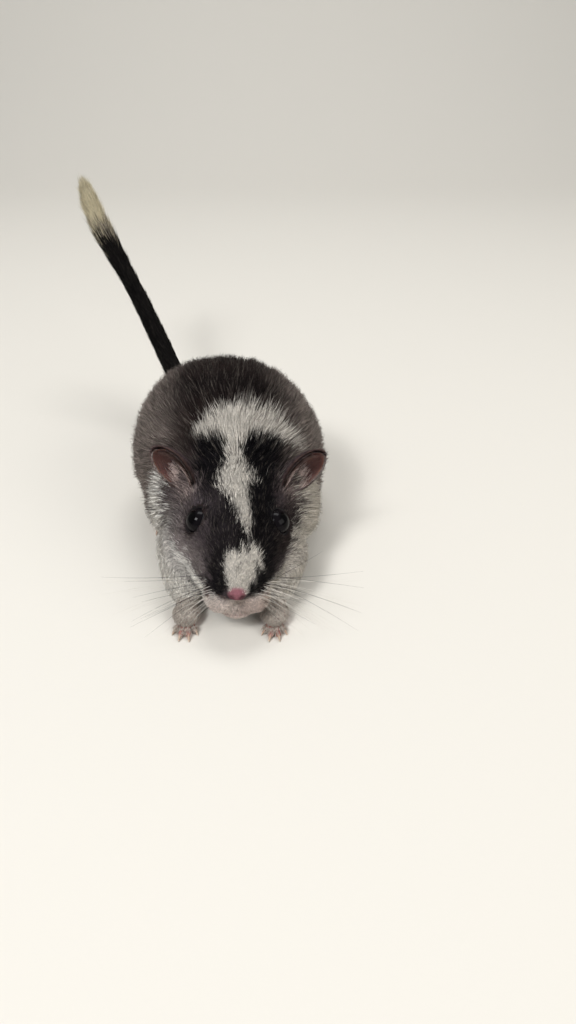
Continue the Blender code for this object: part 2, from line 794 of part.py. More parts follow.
def main():
    clear_scene()
    head()
    for word, side in SIDES.items():
        eye(f"eye_{word}", side)
        ear(f"ear_{word}", side)
        foreleg(f"foreleg_{word}", side)
        forepaw(f"forepaw_{word}", side)
        hind_leg(f"hind_leg_{word}", side)
        hind_foot(f"hind_foot_{word}", side)
    neck()
    torso()
    for name, start, end in TAIL_PARTS[:2]:
        tail_part(name, start, end)
    tuft(*TAIL_PARTS[2])
    centre_on_floor()
    animal = bpy.data.collections.new("gerbil")
    bpy.context.scene.collection.children.link(animal)
    for part in list(bpy.context.scene.collection.objects):
        animal.objects.link(part)
        bpy.context.scene.collection.objects.unlink(part)


main()
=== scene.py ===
"""A still, life-size model of a crouching Mongolian gerbil: skin, coat, eyes, ears, paws and whiskers.

Sizes are in millimetres. The animal faces -Y, its left side is at +X and it stands on z = 0. Shapes are
worked out as whole arrays in the body's drawing frame or the head's own frame, and the meshes are in metres.
"""

import math

import bmesh
import bpy
import numpy as np
from mathutils import Euler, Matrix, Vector


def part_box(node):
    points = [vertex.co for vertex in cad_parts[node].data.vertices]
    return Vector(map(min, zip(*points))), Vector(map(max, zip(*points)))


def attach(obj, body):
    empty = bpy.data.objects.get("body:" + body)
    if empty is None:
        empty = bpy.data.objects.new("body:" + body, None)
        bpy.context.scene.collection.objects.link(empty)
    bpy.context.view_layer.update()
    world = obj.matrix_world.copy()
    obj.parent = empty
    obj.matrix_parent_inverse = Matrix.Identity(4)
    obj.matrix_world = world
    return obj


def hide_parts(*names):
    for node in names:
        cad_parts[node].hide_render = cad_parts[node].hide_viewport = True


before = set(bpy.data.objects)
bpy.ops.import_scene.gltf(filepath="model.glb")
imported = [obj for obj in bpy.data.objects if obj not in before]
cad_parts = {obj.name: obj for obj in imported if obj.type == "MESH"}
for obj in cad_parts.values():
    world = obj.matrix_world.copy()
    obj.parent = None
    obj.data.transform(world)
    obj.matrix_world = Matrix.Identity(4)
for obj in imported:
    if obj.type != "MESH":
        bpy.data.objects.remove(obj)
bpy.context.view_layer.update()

MM = 0.001
SIDES = {"right": -1, "left": 1}

# The drawing frame of the body, and the head's frame: x across, y back from the nose tip, z to the crown.
NOSE_TIP = np.array((0.4, 0.0, 14.5))
HEAD_TURN = np.array(Euler((math.radians(10), math.radians(3), math.radians(2)), "YXZ").to_matrix())
EYES_MIDDLE = np.array((0.0, 20.165, 3.467))
EYE_RADIUS = 3.4
EYE_LOOK = (0.7645, -0.2149, 0.6078)


def box_middle(node):
    low, high = (np.array(corner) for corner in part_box(node))
    return (low + high) / 2 / MM


EYES = {side: box_middle(f"eye_{word}") for word, side in SIDES.items()}
NOSE = (EYES[-1] + EYES[1]) / 2 - HEAD_TURN @ EYES_MIDDLE
DRAWING = NOSE - NOSE_TIP  # where the drawing frame's origin lies in the model


def from_head(points):
    return np.asarray(points, float) @ HEAD_TURN.T + NOSE


def to_head(points):
    return (points - NOSE) @ HEAD_TURN


def from_drawing(points):
    return np.asarray(points, float) + DRAWING


# ---------------- small tools


def hex_colour(code):
    """An sRGB hex code as linear red, green and blue."""
    value = np.array([int(code[i : i + 2], 16) for i in (0, 2, 4)]) / 255
    return np.where(value <= 0.04045, value / 12.92, ((value + 0.055) / 1.055) ** 2.4)


def step(value, low, high):
    """0 below low, 1 above high, and a smooth cubic between them."""
    share = np.clip((value - low) / (high - low), 0, 1)
    return share * share * (3 - 2 * share)


def bump(value, middle, spread):
    """A bell of height 1 round a middle."""
    return np.exp(-(((value - middle) / spread) ** 2))


def blend(first, second, share):
    """The first value where the share is 0, the second where it is 1, and a straight mix between."""
    return first * (1 - share) + second * share


def unit(vectors):
    length = np.linalg.norm(vectors, axis=-1, keepdims=True)
    return vectors / np.maximum(length, 1e-9)


def along_surface(ways, normals):
    """Unit ways with the part along each normal taken off."""
    return unit(ways - (ways * normals).sum(axis=1, keepdims=True) * normals)


def round_angles(count):
    """Evenly spaced angles of a whole turn."""
    return np.arange(count) * 2 * math.pi / count


def ways_round(turn, across, up, flat=1.0):
    """The way at each angle of a circle: its cosine times one vector and its sine times the other."""
    return np.cos(turn)[:, None] * across + flat * np.sin(turn)[:, None] * up


def columns_at(table, place, **ends):
    """Each further column of a table, read by straight interpolation at places in its first column."""
    first, *others = np.array(table).T
    return [np.interp(place, first, column, **ends) for column in others]


def curve(table, at):
    """Rows joined by cubic Hermite curves with slopes from the neighbours, read at places in rows."""
    rows = np.asarray(table, float)
    slopes = np.gradient(rows, axis=0)
    at = np.asarray(at, float)
    i = np.clip(np.floor(at).astype(int), 0, len(rows) - 2)
    t = (at - i)[:, None]
    return (
        (2 * t**3 - 3 * t**2 + 1) * rows[i]
        + (t**3 - 2 * t**2 + t) * slopes[i]
        + (3 * t**2 - 2 * t**3) * rows[i + 1]
        + (t**3 - t**2) * slopes[i + 1]
    )


def soft_noise(points, size, seed):
    """A smooth random field of about -1 to 1: sines in random directions, of wavelengths round a size."""
    rng = np.random.default_rng(seed)
    ways = unit(rng.normal(size=(14, 3))) * 2 * math.pi / size
    ways *= rng.uniform(0.6, 1.4, (14, 1))
    return np.sin(points @ ways.T + rng.uniform(0, 2 * math.pi, 14)).sum(axis=1) / 3.7


def noise_vectors(points, size, seeds):
    """Three of these fields as the parts of a vector."""
    return np.stack([soft_noise(points, size, seed) for seed in seeds], axis=-1)


def place_points(mesh, points):
    """Puts a mesh's points at places given in millimetres."""
    mesh.vertices.foreach_set("co", (np.asarray(points) * MM).astype(np.float32).ravel())


def mesh_of(name, points, groups):
    """A mesh from points in millimetres and groups of faces, each an array with one face a row."""
    mesh = bpy.data.meshes.new(name)
    sizes = np.concatenate([np.full(len(g), g.shape[1]) for g in groups])
    corners = np.concatenate([g.ravel() for g in groups]).astype(np.int32)
    mesh.vertices.add(len(points))
    place_points(mesh, points)
    mesh.loops.add(len(corners))
    mesh.loops.foreach_set("vertex_index", corners)
    mesh.polygons.add(len(sizes))
    mesh.polygons.foreach_set("loop_start", (np.cumsum(sizes) - sizes).astype(np.int32))
    mesh.update(calc_edges=True)
    mesh.validate()
    return mesh


def object_of(data):
    """An object in the scene from a mesh, a light or a camera."""
    obj = bpy.data.objects.new(data.name, data)
    bpy.context.scene.collection.objects.link(obj)
    return obj


def read(mesh, what="vertices", field="co", width=3):
    """One field of a mesh as an array, with points in millimetres."""
    items = getattr(mesh, what)
    kind = np.int32 if field in ("vertices", "vertex_index") else np.float32
    values = np.zeros(len(items) * width, kind)
    items.foreach_get(field, values)
    values = values.reshape(-1, width)
    return values.astype(float) / MM if field == "co" else values


def finished(obj):
    """The mesh that an object's modifiers make."""
    bpy.context.view_layer.update()
    made = bpy.data.meshes.new_from_object(obj.evaluated_get(bpy.context.evaluated_depsgraph_get()))
    made.name = obj.name
    return made


def with_modifier(mesh, kind, **settings):
    """A mesh after one modifier. A list of weights under `weights` becomes its vertex group."""
    obj = object_of(mesh)
    weights = settings.pop("weights", None)
    modifier = obj.modifiers.new(kind.lower(), kind)
    for key, value in settings.items():
        setattr(modifier, key, value)
    if weights is not None:
        group = obj.vertex_groups.new(name="weight")
        levels = np.round(np.asarray(weights) * 20).astype(int)
        for level in np.unique(levels):
            group.add(np.flatnonzero(levels == level).tolist(), level / 20, "REPLACE")
        modifier.vertex_group = "weight"
    made = finished(obj)
    bpy.data.objects.remove(obj)
    bpy.data.meshes.remove(mesh)
    return made


def grid_faces(index):
    """Four-sided faces between the neighbours of a grid of point numbers."""
    corners = [index[:-1, :-1], index[:-1, 1:], index[1:, 1:], index[1:, :-1]]
    return np.stack(corners, axis=-1).reshape(-1, 4)


def shell(rings, first, last):
    """Points and faces of a closed skin over rings (rows, sides, 3), with a fan to each end point."""
    rows, sides, _ = rings.shape
    points = np.vstack([rings.reshape(-1, 3), [first], [last]])
    index = np.pad(np.arange(rows * sides).reshape(rows, sides), ((0, 0), (0, 1)), mode="wrap")
    near = np.stack([index[0, 1:], index[0, :-1], np.full(sides, rows * sides)], axis=-1)
    far = np.stack([index[-1, :-1], index[-1, 1:], np.full(sides, rows * sides + 1)], axis=-1)
    return points, [grid_faces(index), near, far]


def outward_mesh(name, points, groups):
    """A closed mesh whose faces point outwards."""
    mesh = mesh_of(name, points, groups)
    work = bmesh.new()
    work.from_mesh(mesh)
    bmesh.ops.recalc_face_normals(work, faces=work.faces)
    if work.calc_volume(signed=True) < 0:
        bmesh.ops.reverse_faces(work, faces=work.faces)
    work.to_mesh(mesh)
    work.free()
    return mesh


def frames_along(line):
    """The direction, sideways and upward vectors at each point of a line."""
    along = unit(np.gradient(line, axis=0))
    helper = np.where(np.abs(along[:, 2:3]) > 0.95, (0.0, 1.0, 0.0), (0.0, 0.0, 1.0))
    across = unit(np.cross(along, helper))
    return along, across, np.cross(across, along)


def tube(name, line, radii, sides=16, flat=1.0, round_rows=4):
    """A tube along a line with round ends: each ring is a circle, its height scaled by flat."""
    along, across, up = frames_along(line)
    ends = np.linspace(math.pi / 2, 0, round_rows, endpoint=False)[1:]
    before = line[0] - along[0] * radii[0] * np.sin(ends)[:, None]
    behind = line[-1] + along[-1] * radii[-1] * np.sin(ends[::-1])[:, None]
    centres = np.vstack([before, line, behind])
    sizes = np.concatenate([radii[0] * np.cos(ends), radii, radii[-1] * np.cos(ends[::-1])])
    pad = ((len(ends), len(ends)), (0, 0))
    sideways, upwards = (np.pad(way, pad, mode="edge")[:, None] for way in (across, up))
    circles = ways_round(round_angles(sides), sideways, upwards, flat)
    rings = centres[:, None] + sizes[:, None, None] * circles
    points, groups = shell(rings, line[0] - along[0] * radii[0], line[-1] + along[-1] * radii[-1])
    return outward_mesh(name, points, groups)


def ball(name, centre, radii, columns=32, rows=20):
    """An ellipsoid by two angles: the turn round its upright axis, and the fall from its top."""
    turn = round_angles(columns)
    fall = np.linspace(0, math.pi, rows + 2)[1:-1, None]
    around = [np.sin(fall) * np.cos(turn), np.sin(fall) * np.sin(turn), np.cos(fall) * np.ones_like(turn)]
    top = np.array((0, 0, radii[2]))
    points, groups = shell(centre + np.stack(around, axis=-1) * radii, centre + top, centre - top)
    return outward_mesh(name, points, groups)


def joined(name, meshes):
    """Several meshes as one."""
    work = bmesh.new()
    for mesh in meshes:
        work.from_mesh(mesh)
    whole = bpy.data.meshes.new(name)
    work.to_mesh(whole)
    work.free()
    for mesh in meshes:
        bpy.data.meshes.remove(mesh)
    return whole


def grown_node(name, grow):
    """A copy of a CAD node with its doubles merged, made larger along its normals."""
    work = bmesh.new()
    work.from_mesh(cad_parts[name].data)
    bmesh.ops.remove_doubles(work, verts=work.verts, dist=2e-6)
    bmesh.ops.recalc_face_normals(work, faces=work.faces)
    copy = bpy.data.meshes.new(name)
    work.to_mesh(copy)
    work.free()
    place_points(copy, read(copy) + grow * read(copy, "vertex_normals", "vector"))
    return copy


def nearest_on(mesh, points):
    """The nearest points of a mesh and the outward directions there, for whole arrays of points."""
    surface = object_of(mesh)
    probe = bpy.data.meshes.new("probe")
    probe.vertices.add(len(points))
    place_points(probe, points)
    found = []
    for mode, offset in (("ON_SURFACE", 0.0), ("ABOVE_SURFACE", MM)):
        copy = object_of(probe)
        wrap = copy.modifiers.new("wrap", "SHRINKWRAP")
        wrap.target = surface
        wrap.wrap_method = "NEAREST_SURFACEPOINT"
        wrap.wrap_mode = mode
        wrap.offset = offset
        made = finished(copy)
        found.append(read(made))
        bpy.data.objects.remove(copy)
        bpy.data.meshes.remove(made)
    bpy.data.meshes.remove(probe)
    bpy.data.objects.remove(surface)
    return found[0], unit(found[1] - found[0])


def relaxed(values, links, rounds, share=0.5):
    """Values at a mesh's points, each moved towards the mean of its neighbours a number of times."""
    count = len(values)
    a, b = links[:, 0], links[:, 1]
    degree = np.maximum(np.bincount(a, minlength=count) + np.bincount(b, minlength=count), 1)
    for _ in range(rounds):
        sums = [np.bincount(a, column[b], count) + np.bincount(b, column[a], count) for column in values.T]
        values = values + share * (np.stack(sums, axis=-1) / degree[:, None] - values)
    return values


def colour_layer(mesh, colours):
    layer = mesh.attributes.new("colour", "FLOAT_COLOR", "POINT")
    rgba = np.ones((len(colours), 4), np.float32)
    rgba[:, :3] = np.clip(colours, 0, 1)
    layer.data.foreach_set("color", rgba.ravel())


def piece(mesh, name, finish, slot, *nodes):
    """Shows a mesh as a named piece of the animal."""
    mesh.name = name
    obj = object_of(mesh)
    obj.name = name
    mesh.shade_smooth()
    mesh.materials.clear()
    mesh.materials.append(finish)
    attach(obj, "root")
    if nodes:
        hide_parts(*nodes)
    return obj


# ---------------- finishes


class Finish:
    """A material's node tree with its shader."""

    def __init__(self, name):
        self.material = bpy.data.materials.new(name)
        self.material.use_nodes = True
        self.tree = self.material.node_tree
        self.shader = self.tree.nodes["Principled BSDF"]

    def add(self, kind, links=(), **settings):
        """Adds a node. A setting names an input by its label with _ for a space, or else a property."""
        node = self.tree.nodes.new(kind)
        for key, value in settings.items():
            label = key.replace("_", " ")
            if label in node.inputs:
                node.inputs[label].default_value = value
            else:
                setattr(node, key, value)
        for source, target in links:
            self.tree.links.new(source, node.inputs[target])
        return node

    def set(self, **values):
        """Sets the shader's own sockets."""
        for key, value in values.items():
            self.shader.inputs[key.replace("_", " ")].default_value = value

    def feed(self, target, source):
        self.tree.links.new(source, self.shader.inputs[target])


def attribute_colour(made, grain_mm, low, high):
    """The piece's own colours, lighter and darker in grains of a real size. Gives the grain's nodes."""
    own = made.add("ShaderNodeAttribute", attribute_name="colour")
    place = made.add("ShaderNodeTexCoord")
    grain = made.add(
        "ShaderNodeTexNoise", [(place.outputs["Object"], "Vector")],
        Scale=1 / (grain_mm * MM), Detail=3.0, Roughness=0.6,
    )
    level = made.add(
        "ShaderNodeMapRange", [(grain.outputs["Fac"], "Value")],
        From_Min=0.3, From_Max=0.7, To_Min=low, To_Max=high,
    )
    links = [(own.outputs["Color"], 0), (level.outputs["Result"], 1)]
    shade = made.add("ShaderNodeVectorMath", links, operation="MULTIPLY")
    made.feed("Base Color", shade.outputs["Vector"])
    return place, grain


def relief(made, height, depth_mm, strength=1.0):
    ridge = made.add("ShaderNodeBump", [(height, "Height")], Distance=depth_mm * MM, Strength=strength)
    made.feed("Normal", ridge.outputs["Normal"])


def fur_finish(name):
    """Guard hair and wool in small bundles: soft broken gloss along each, and slight uneven tone."""
    made = Finish(name)
    attribute_colour(made, 0.5, 0.78, 1.22)
    made.set(Roughness=0.55, IOR=1.55, Specular_IOR_Level=0.05)
    return made.material


def skin_finish():
    """Living skin under the coat: matt, with the faint unevenness of thin flat hair in its relief."""
    made = Finish("haired_skin")
    _, grain = attribute_colour(made, 0.6, 0.8, 1.2)
    relief(made, grain.outputs["Fac"], 0.12)
    made.set(Roughness=0.7, IOR=1.4, Specular_IOR_Level=0.3)
    return made.material


def bare_skin_finish(name, grain_mm, depth_mm, roughness):
    """Bare living skin: fine pebbled grain, a little light under the surface and a faint moist gloss."""
    made = Finish(name)
    place, _ = attribute_colour(made, grain_mm, 0.82, 1.15)
    links = [(place.outputs["Object"], "Vector")]
    cells = made.add("ShaderNodeTexVoronoi", links, Scale=1 / (grain_mm * 0.8 * MM))
    relief(made, cells.outputs["Distance"], depth_mm)
    made.set(Roughness=roughness, IOR=1.4)
    made.set(Subsurface_Weight=0.25, Subsurface_Radius=(1.0, 0.35, 0.2), Subsurface_Scale=0.6 * MM)
    return made.material


def eye_finish():
    """A wet cornea over a nearly black iris: a deep colour under one clear, sharp gloss."""
    made = Finish("wet_eye")
    own = made.add("ShaderNodeAttribute", attribute_name="colour")
    made.feed("Base Color", own.outputs["Color"])
    made.set(Roughness=0.03, IOR=1.376, Specular_IOR_Level=0.13)
    return made.material


def horn_finish():
    """Keratin of the claws: translucent horn, smooth, with a fine uneven grain in its tone and relief."""
    made = Finish("claw_horn")
    _, grain = attribute_colour(made, 0.25, 0.85, 1.12)
    relief(made, grain.outputs["Fac"], 0.02)
    made.set(Roughness=0.32, IOR=1.54, Subsurface_Weight=0.15, Subsurface_Scale=0.3 * MM)
    return made.material


def whisker_finish():
    """Stiff tapered vibrissae: smooth keratin with a bright line of gloss."""
    made = Finish("whisker_hair")
    attribute_colour(made, 1.5, 0.9, 1.1)
    made.set(Roughness=0.35, IOR=1.55)
    return made.material


# ---------------- markings

COLOURS = {
    name: hex_colour(code)
    for name, code in {
        "back": "2a211f", "flank": "756a65", "tick": "b2a89d", "crown": "0b0a0d",
        "mauve": "4f474b", "cheek": "484042", "white": "cfc9c0", "white_root": "8f877d",
        # 9a877c is a grey for the upper lips, partly their own tone and partly painted shade
        # a29683 is a tan laid as painted shade over the white on the left of the lower face, throat and
        # chest
        "ruff": "ece8e1", "ruff_painted_shade": "a29683", "lip": "d3aca4", "lip_grey_and_shade": "9a877c",
        # the nostril colour is painted shade in the nostrils and along the mouth's crease
        "nose": "7d4f57", "nostril": "2c1218", "lid": "0f0c0e", "tail": "0d0b0b",
        "tail_tip": "cdc2a2", "brown": "2b2221", "cheek_low": "877d7b", "tail_grey": "9d918c",
        "ear": "62433f", "ear_rim": "6e544e", "ear_edge": "5b4843", "ear_hair": "c8b4ad",
        # the darker paw colour is painted shade under the paws and also their own random mottling
        # the ear's darkest flesh colour is painted shade low in the cup's hollow
        "ear_hollow_shade": "3a2220", "ear_back": "43383a", "paw": "a86c62", "paw_mottle_and_shade": "6d3c38",
        "iris": "0a080a", "horn": "cbb9a4", "horn_root": "8f6c5c",
    }.items()
}

# back from the nose, middle and half width of the white blaze
BLAZE = (
    (12.2, 2.2, 0.0), (13.4, 2.0, 0.7), (15.0, 1.6, 1.2), (17.5, 1.2, 1.7), (20.5, 0.35, 2.2),
    (23.5, -0.8, 2.6), (26.5, -0.4, 4.1), (29.5, -0.6, 4.2), (32.0, -1.2, 2.2), (35.0, -1.5, 1.6),
    (39.0, -1.6, 1.8),
)
# the white of the muzzle above the nose
MUZZLE = (
    (-2.0, 0.3, 1.8), (2.0, 0.4, 2.3), (3.0, 0.45, 2.7), (4.2, 0.6, 3.2), (6.0, 1.1, 4.0),
    (7.6, 1.6, 4.3), (8.5, 2.6, 3.3), (9.3, 3.9, 1.7), (10.6, 3.9, 0.0),
)
# back from the nose, and how far out the black of the crown and beside the blaze reaches on each side
BLACK = (
    (0.0, 6.5, 7.5), (8.0, 7.0, 8.8), (12.0, 6.8, 9.6), (20.0, 7.3, 9.8), (24.0, 7.8, 9.5),
    (28.0, 9.2, 9.2), (34.0, 11.0, 10.2), (40.0, 11.0, 11.0),
)
# across the neck, where the collar starts and ends, back along the body
COLLAR = (
    (-13.0, 36.8, 37.2), (-11.0, 36.2, 38.8), (-8.5, 35.8, 40.4), (-5.4, 35.2, 42.2),
    (-3.0, 33.8, 42.8), (-1.5, 31.0, 42.8), (0.8, 34.5, 43.0), (3.0, 36.6, 43.2), (7.0, 37.2, 43.2),
    (10.0, 38.0, 43.0), (13.0, 38.8, 42.0), (15.0, 39.4, 40.8), (17.0, 39.6, 39.4),
)
# along the body, and where the middle line of the back lies
BACK_LINE = ((36, 49, 68, 86), (-2.8, -4.2, -6.0, -8.0))
BODY_HALF_WIDTH = 26
# back from the nose, and the lowest level of the black
BLACK_FLOOR = ((0, 3, 8, 16, 24), (-1.5, -2.3, -3.6, 1.0, 4.0))
# back from the nose, and the level under which each side of the face is white
RUFF_RIGHT = (
    (0.0, -1.9), (4.0, -2.8), (7.3, -3.4), (11.9, -3.8), (15.0, -2.4), (20.0, -2.6), (26.4, -4.0),
    (29.2, -1.1), (32.0, 2.0), (35.0, 5.0),
)
RUFF_LEFT = (
    (0.0, -1.7), (4.0, -2.7), (7.3, -3.3), (10.3, -3.6), (14.5, -2.1), (18.7, 0.2), (25.3, -0.6),
    (28.6, 1.9), (32.4, 5.4), (35.0, 7.5),
)


def mixed(colours, share, name):
    return blend(colours, COLOURS[name], np.clip(share, 0, 1)[:, None])


class Places:
    """Points in the head's frame (across, back, level) and the body's (x, y, z), and the parts there."""

    def __init__(self, points, share):
        self.points, self.share = points, share
        self.across, self.back, self.level = to_head(points).T
        self.x, self.y, self.z = (points - DRAWING).T
        self.out = np.abs(self.across)
        self.left = step(self.across, -1.5, 1.5)
        self.face = share["head"] + share["neck"]
        self.from_eye = eye_distance(points)
        self.rough = 0.7 * soft_noise(points, 2.6, 4)
        self.fringe = 0.55 * soft_noise(points * (1.0, 0.25, 0.25), 1.7, 5)


def marking(at, ragged, table):
    """A white marking from its middle and half width, read at places back that a fringe shifts."""
    middle, half = columns_at(table, at.back + ragged * at.fringe, left=0, right=0)
    return step(half - np.abs(at.across - middle), -0.5, 0.5) * step(half, 0.0, 0.4)


def body_layers(at):
    """The dark back over the flanks by the distance from its middle line, darkest behind the collar."""
    middle = np.interp(at.y, *BACK_LINE)
    side = np.abs(at.x - middle) / BODY_HALF_WIDTH
    on_top = 1 - step(side + 0.04 * soft_noise(at.points, 9, 1) + 0.1 * step(at.y, 55, 68), 0.3, 0.85)
    return [(on_top * step(at.z, 14, 30), "back"), (0.6 * bump(at.y, 48, 5) * on_top, "crown")]


def crown_share(at):
    """The black of the crown and the bands beside the blaze, down to a level that follows the face."""
    reach = np.where(at.across < 0, *columns_at(BLACK, at.back))
    black = step(reach - at.out + at.rough, -1.0, 1.2) * (1 - step(at.back, 40, 43))
    lowest = np.interp(at.back, *BLACK_FLOOR)
    lowest += (1 - step(at.out, 2.0, 3.6)) * (1 - step(at.back, 4, 8)) * 3.0
    black *= step(at.level - lowest, -1.2, 1.2)
    black *= 1 - 0.55 * bump(at.back, 22.0, 4.0) * bump(at.across, -5.6, 2.2)
    return at.face * black * (0.96 - (0.2 - 0.12 * at.left) * bump(at.back, 12, 6))


def face_layers(at):
    """Grey cheeks, brown and mauve round the eyes, pale hair before the ears, and the black crown."""
    on_head = at.share["head"]
    beside_face = at.share["neck"] * (1 - step(at.back, 32, 36)) * (1 - step(at.level, 6, 10))
    low = step(3.5 - at.level, 0, 5) * step(at.back, 5, 11) * (1 - 0.6 * at.left)
    # brown round the left eye is the fur's own colour; the brown over the left side above the mouth
    # is partly the fur's own and partly painted shade of the side turned from the light
    left_brown_and_shade = at.left * (1 - step(at.from_eye, 4, 10)) + 0.75 * at.left * step(at.level, -5, 2)
    over_eye = bump(at.back, 23.5, 5.5) * bump(at.out, 10.5, 3.4) * bump(at.level, 8.0, 5.0)
    behind_eye = bump(at.back, 31.5, 4.5) * bump(at.out, 11.0, 3.0) * step(at.level, 4, 7)
    ear_base = bump(at.back, 29.8, 2.7) * bump(at.out, 12.6, 2.6) * bump(at.level, 5.5, 4.5)
    ear_base *= 0.8 + 0.4 * soft_noise(at.points * (1.0, 0.4, 0.4), 1.4, 9)
    return [
        (on_head + 0.8 * beside_face, "cheek"),
        (0.85 * on_head * low, "cheek_low"),
        (on_head * np.minimum(left_brown_and_shade, 0.95), "brown"),
        (on_head * (0.85 - 0.25 * at.left) * np.maximum(over_eye, behind_eye), "mauve"),
        (on_head * (1 - step(at.from_eye, 3.9, 5.0)), "brown"),
        ((0.66 - 0.26 * at.left) * ear_base, "ear_hair"),
        (crown_share(at), "crown"),
    ]


def white_share(at):
    """The white of the blaze, the muzzle and the collar."""
    blaze = marking(at, 2.2, BLAZE) * step(at.level, 4, 6)
    muzzle = marking(at, 1.6, MUZZLE) * step(at.level, -1.4, 0.2)
    front, rear = columns_at(COLLAR, at.x - 0.2)
    collar = step(at.y - front, -0.8, 0.8) * step(rear + 1.6 * at.fringe - at.y, -1.0, 1.0)
    collar *= step(at.x, -13.5, -9.0) * (1 - step(at.x, 14.5, 17.5))
    return np.max([blaze, muzzle, collar * step(at.z, 20, 26)], axis=0)


def under_share(at):
    """The white of the lower face and throat, the forelegs and the belly."""
    face_edge = np.where(at.across < 0, *columns_at(RUFF_RIGHT, at.back), *columns_at(RUFF_LEFT, at.back))
    ruff_end = 35.0 + 0.6 * (np.clip(at.level, -8, 6) - 1.2)
    ruff = at.face * step(face_edge - at.level + at.rough, -0.8, 0.8)
    ruff *= 1 - step(at.back - ruff_end + at.rough, -1.0, 1.5)
    belly = step(11.5 + 1.2 * soft_noise(at.points, 8, 3) - at.z, -2.2, 2.2) * (1 - at.share["tail"])
    return np.max([ruff, at.share["foreleg"], belly * (1 - at.share["head"])], axis=0)


def lip_layers(at):
    """Grey, partly painted shade, on the upper lips, and a faint pink on the lips, pinkest on the chin."""
    blush = at.share["head"] * bump(at.back, 0.0, 4.0) * step(-1.2 - at.level, 0, 1.5)
    chin = step(-6.2 - at.level, 0, 1.2)
    # the grey's extra share on the left side is painted shade
    shade, pink = (0.36 + 0.24 * at.left) * (1 - chin) * blush, (0.2 + 0.24 * chin) * blush
    return [(shade, "lip_grey_and_shade"), (pink, "lip")]


def coat_colours(points, share):
    """Colour of the coat at points, and its share of white. `share` gives how much of each part is there.

    Each marking is a smooth step across a distance in the head's or the body's frame, over the one before.
    """
    at = Places(points, share)
    white, under = white_share(at), under_share(at)
    # painted shade: a tan over the white on the left of the lower face, throat and chest, turned from the
    # light
    shaded = 0.6 * under * at.left * step(at.level, -12, -4)
    shaded *= step(at.back + 1.4 * np.maximum(at.across, 0), 6, 14)
    whites = [(white, "white"), (under, "ruff"), (shaded, "ruff_painted_shade")]
    colours = np.tile(COLOURS["flank"], (len(points), 1))
    for amount, name in body_layers(at) + face_layers(at) + whites + lip_layers(at):
        colours = mixed(colours, amount, name)

    dark = step(tail_left(points) + 2.0 * soft_noise(points, 4, 7), 13.0, 19.0)
    tail = blend(COLOURS["tail_tip"], COLOURS["tail"], dark[:, None])
    tail = mixed(tail, 0.65 * bump(dark, 0.35, 0.28), "tail_grey")
    colours = blend(colours, tail, share["tail"][:, None])
    return colours, np.where(share["tail"] > 0.5, 1 - dark, np.maximum(white, under))


# ---------------- skin

TAIL_LINE = (
    (-6.5, 84.0, 12.2), (-9.5, 91.4, 13.4), (-17.0, 96.6, 16.4), (-25.2, 101.0, 22.6),
    (-38.6, 120.6, 41.0), (-52.4, 138.8, 59.1), (-57.2, 146.2, 67.8),
)
TAIL_SKIN = (2.9, 2.6, 2.2, 2.1, 1.9, 1.4, 0.9)  # radii of the tail's flesh at the points of its line
COAT_PARTS = ("head", "neck", "torso", "foreleg", "hind_leg", "tail")
HEAD, NECK, TORSO, FORELEG, HIND_LEG, TAIL = range(len(COAT_PARTS))  # the columns of a table of shares
FLESH = ("head", "neck", "torso", "foreleg_left", "foreleg_right", "hind_leg_left", "hind_leg_right")
TAIL_NODES = ("tail_base", "tail_middle", "tail_tuft")
TAIL_CURVE = curve(TAIL_LINE, np.linspace(0, len(TAIL_LINE) - 1, 31))
TAIL_END = from_drawing(TAIL_LINE[-1])
TAIL_WAY = unit(np.subtract(TAIL_LINE[-1], TAIL_LINE[-2]))
SKIN_VOXEL = 0.36
KEPT_FACES = 0.36  # the share of the fused skin's triangles that the final skin has
NAPE = (-1.5, 20, 22)  # where the hair of neck and body starts from
BODY_CENTRE, HEAD_CENTRE = np.array((-4.0, 50.0, 16.0)), np.array((0.0, 20.0, -1.5))  # of the unwraps

# how far the skin lies inside the solids, the rise, length and half width of a tuft, and how many tufts
# stand on a square millimetre
TRAITS = {
    "neck": (2.4, 2.4, 6.0, 0.12, 17.0),
    "torso": (2.9, 2.9, 6.8, 0.125, 17.5),
    "foreleg": (1.0, 1.0, 3.4, 0.10, 15.0),
    "hind_leg": (2.0, 2.0, 5.6, 0.14, 10.0),
    "tail": (0.0, 1.0, 5.6, 0.10, 15.5),
}
# the same for the head by distance back from the nose
HEAD_TRAITS = (
    (0.0, 0.15, 0.2, 0.9, 0.055, 42.0),
    (4.0, 0.4, 0.45, 1.6, 0.070, 38.0),
    (9.0, 0.8, 0.8, 2.5, 0.085, 31.0),
    (16.0, 1.05, 1.05, 3.1, 0.10, 27.0),
    (26.0, 1.5, 1.5, 4.2, 0.115, 21.0),
    (36.0, 2.2, 2.2, 6.0, 0.13, 16.0),
)


def part_shares(points):
    """How much of each part is at points: a bell of how much further its CAD nodes are than the nearest."""
    nearest = {part: np.full(len(points), 1e3) for part in COAT_PARTS}
    for name in FLESH + TAIL_NODES:
        part = next(p for p in COAT_PARTS if name.startswith(p))
        node = grown_node(name, 0.0)
        found, _ = nearest_on(node, points)
        bpy.data.meshes.remove(node)
        away = np.linalg.norm(found - points, axis=1)
        nearest[part] = np.minimum(nearest[part], away)
    away = np.stack([nearest[part] for part in COAT_PARTS], axis=-1)
    share = np.exp(-(((away - away.min(axis=1, keepdims=True)) / 0.9) ** 2))
    return share / share.sum(axis=1, keepdims=True)


def eye_distance(points):
    """How far points are from the nearer eye's middle."""
    return np.min([np.linalg.norm(points - centre, axis=1) for centre in EYES.values()], axis=0)


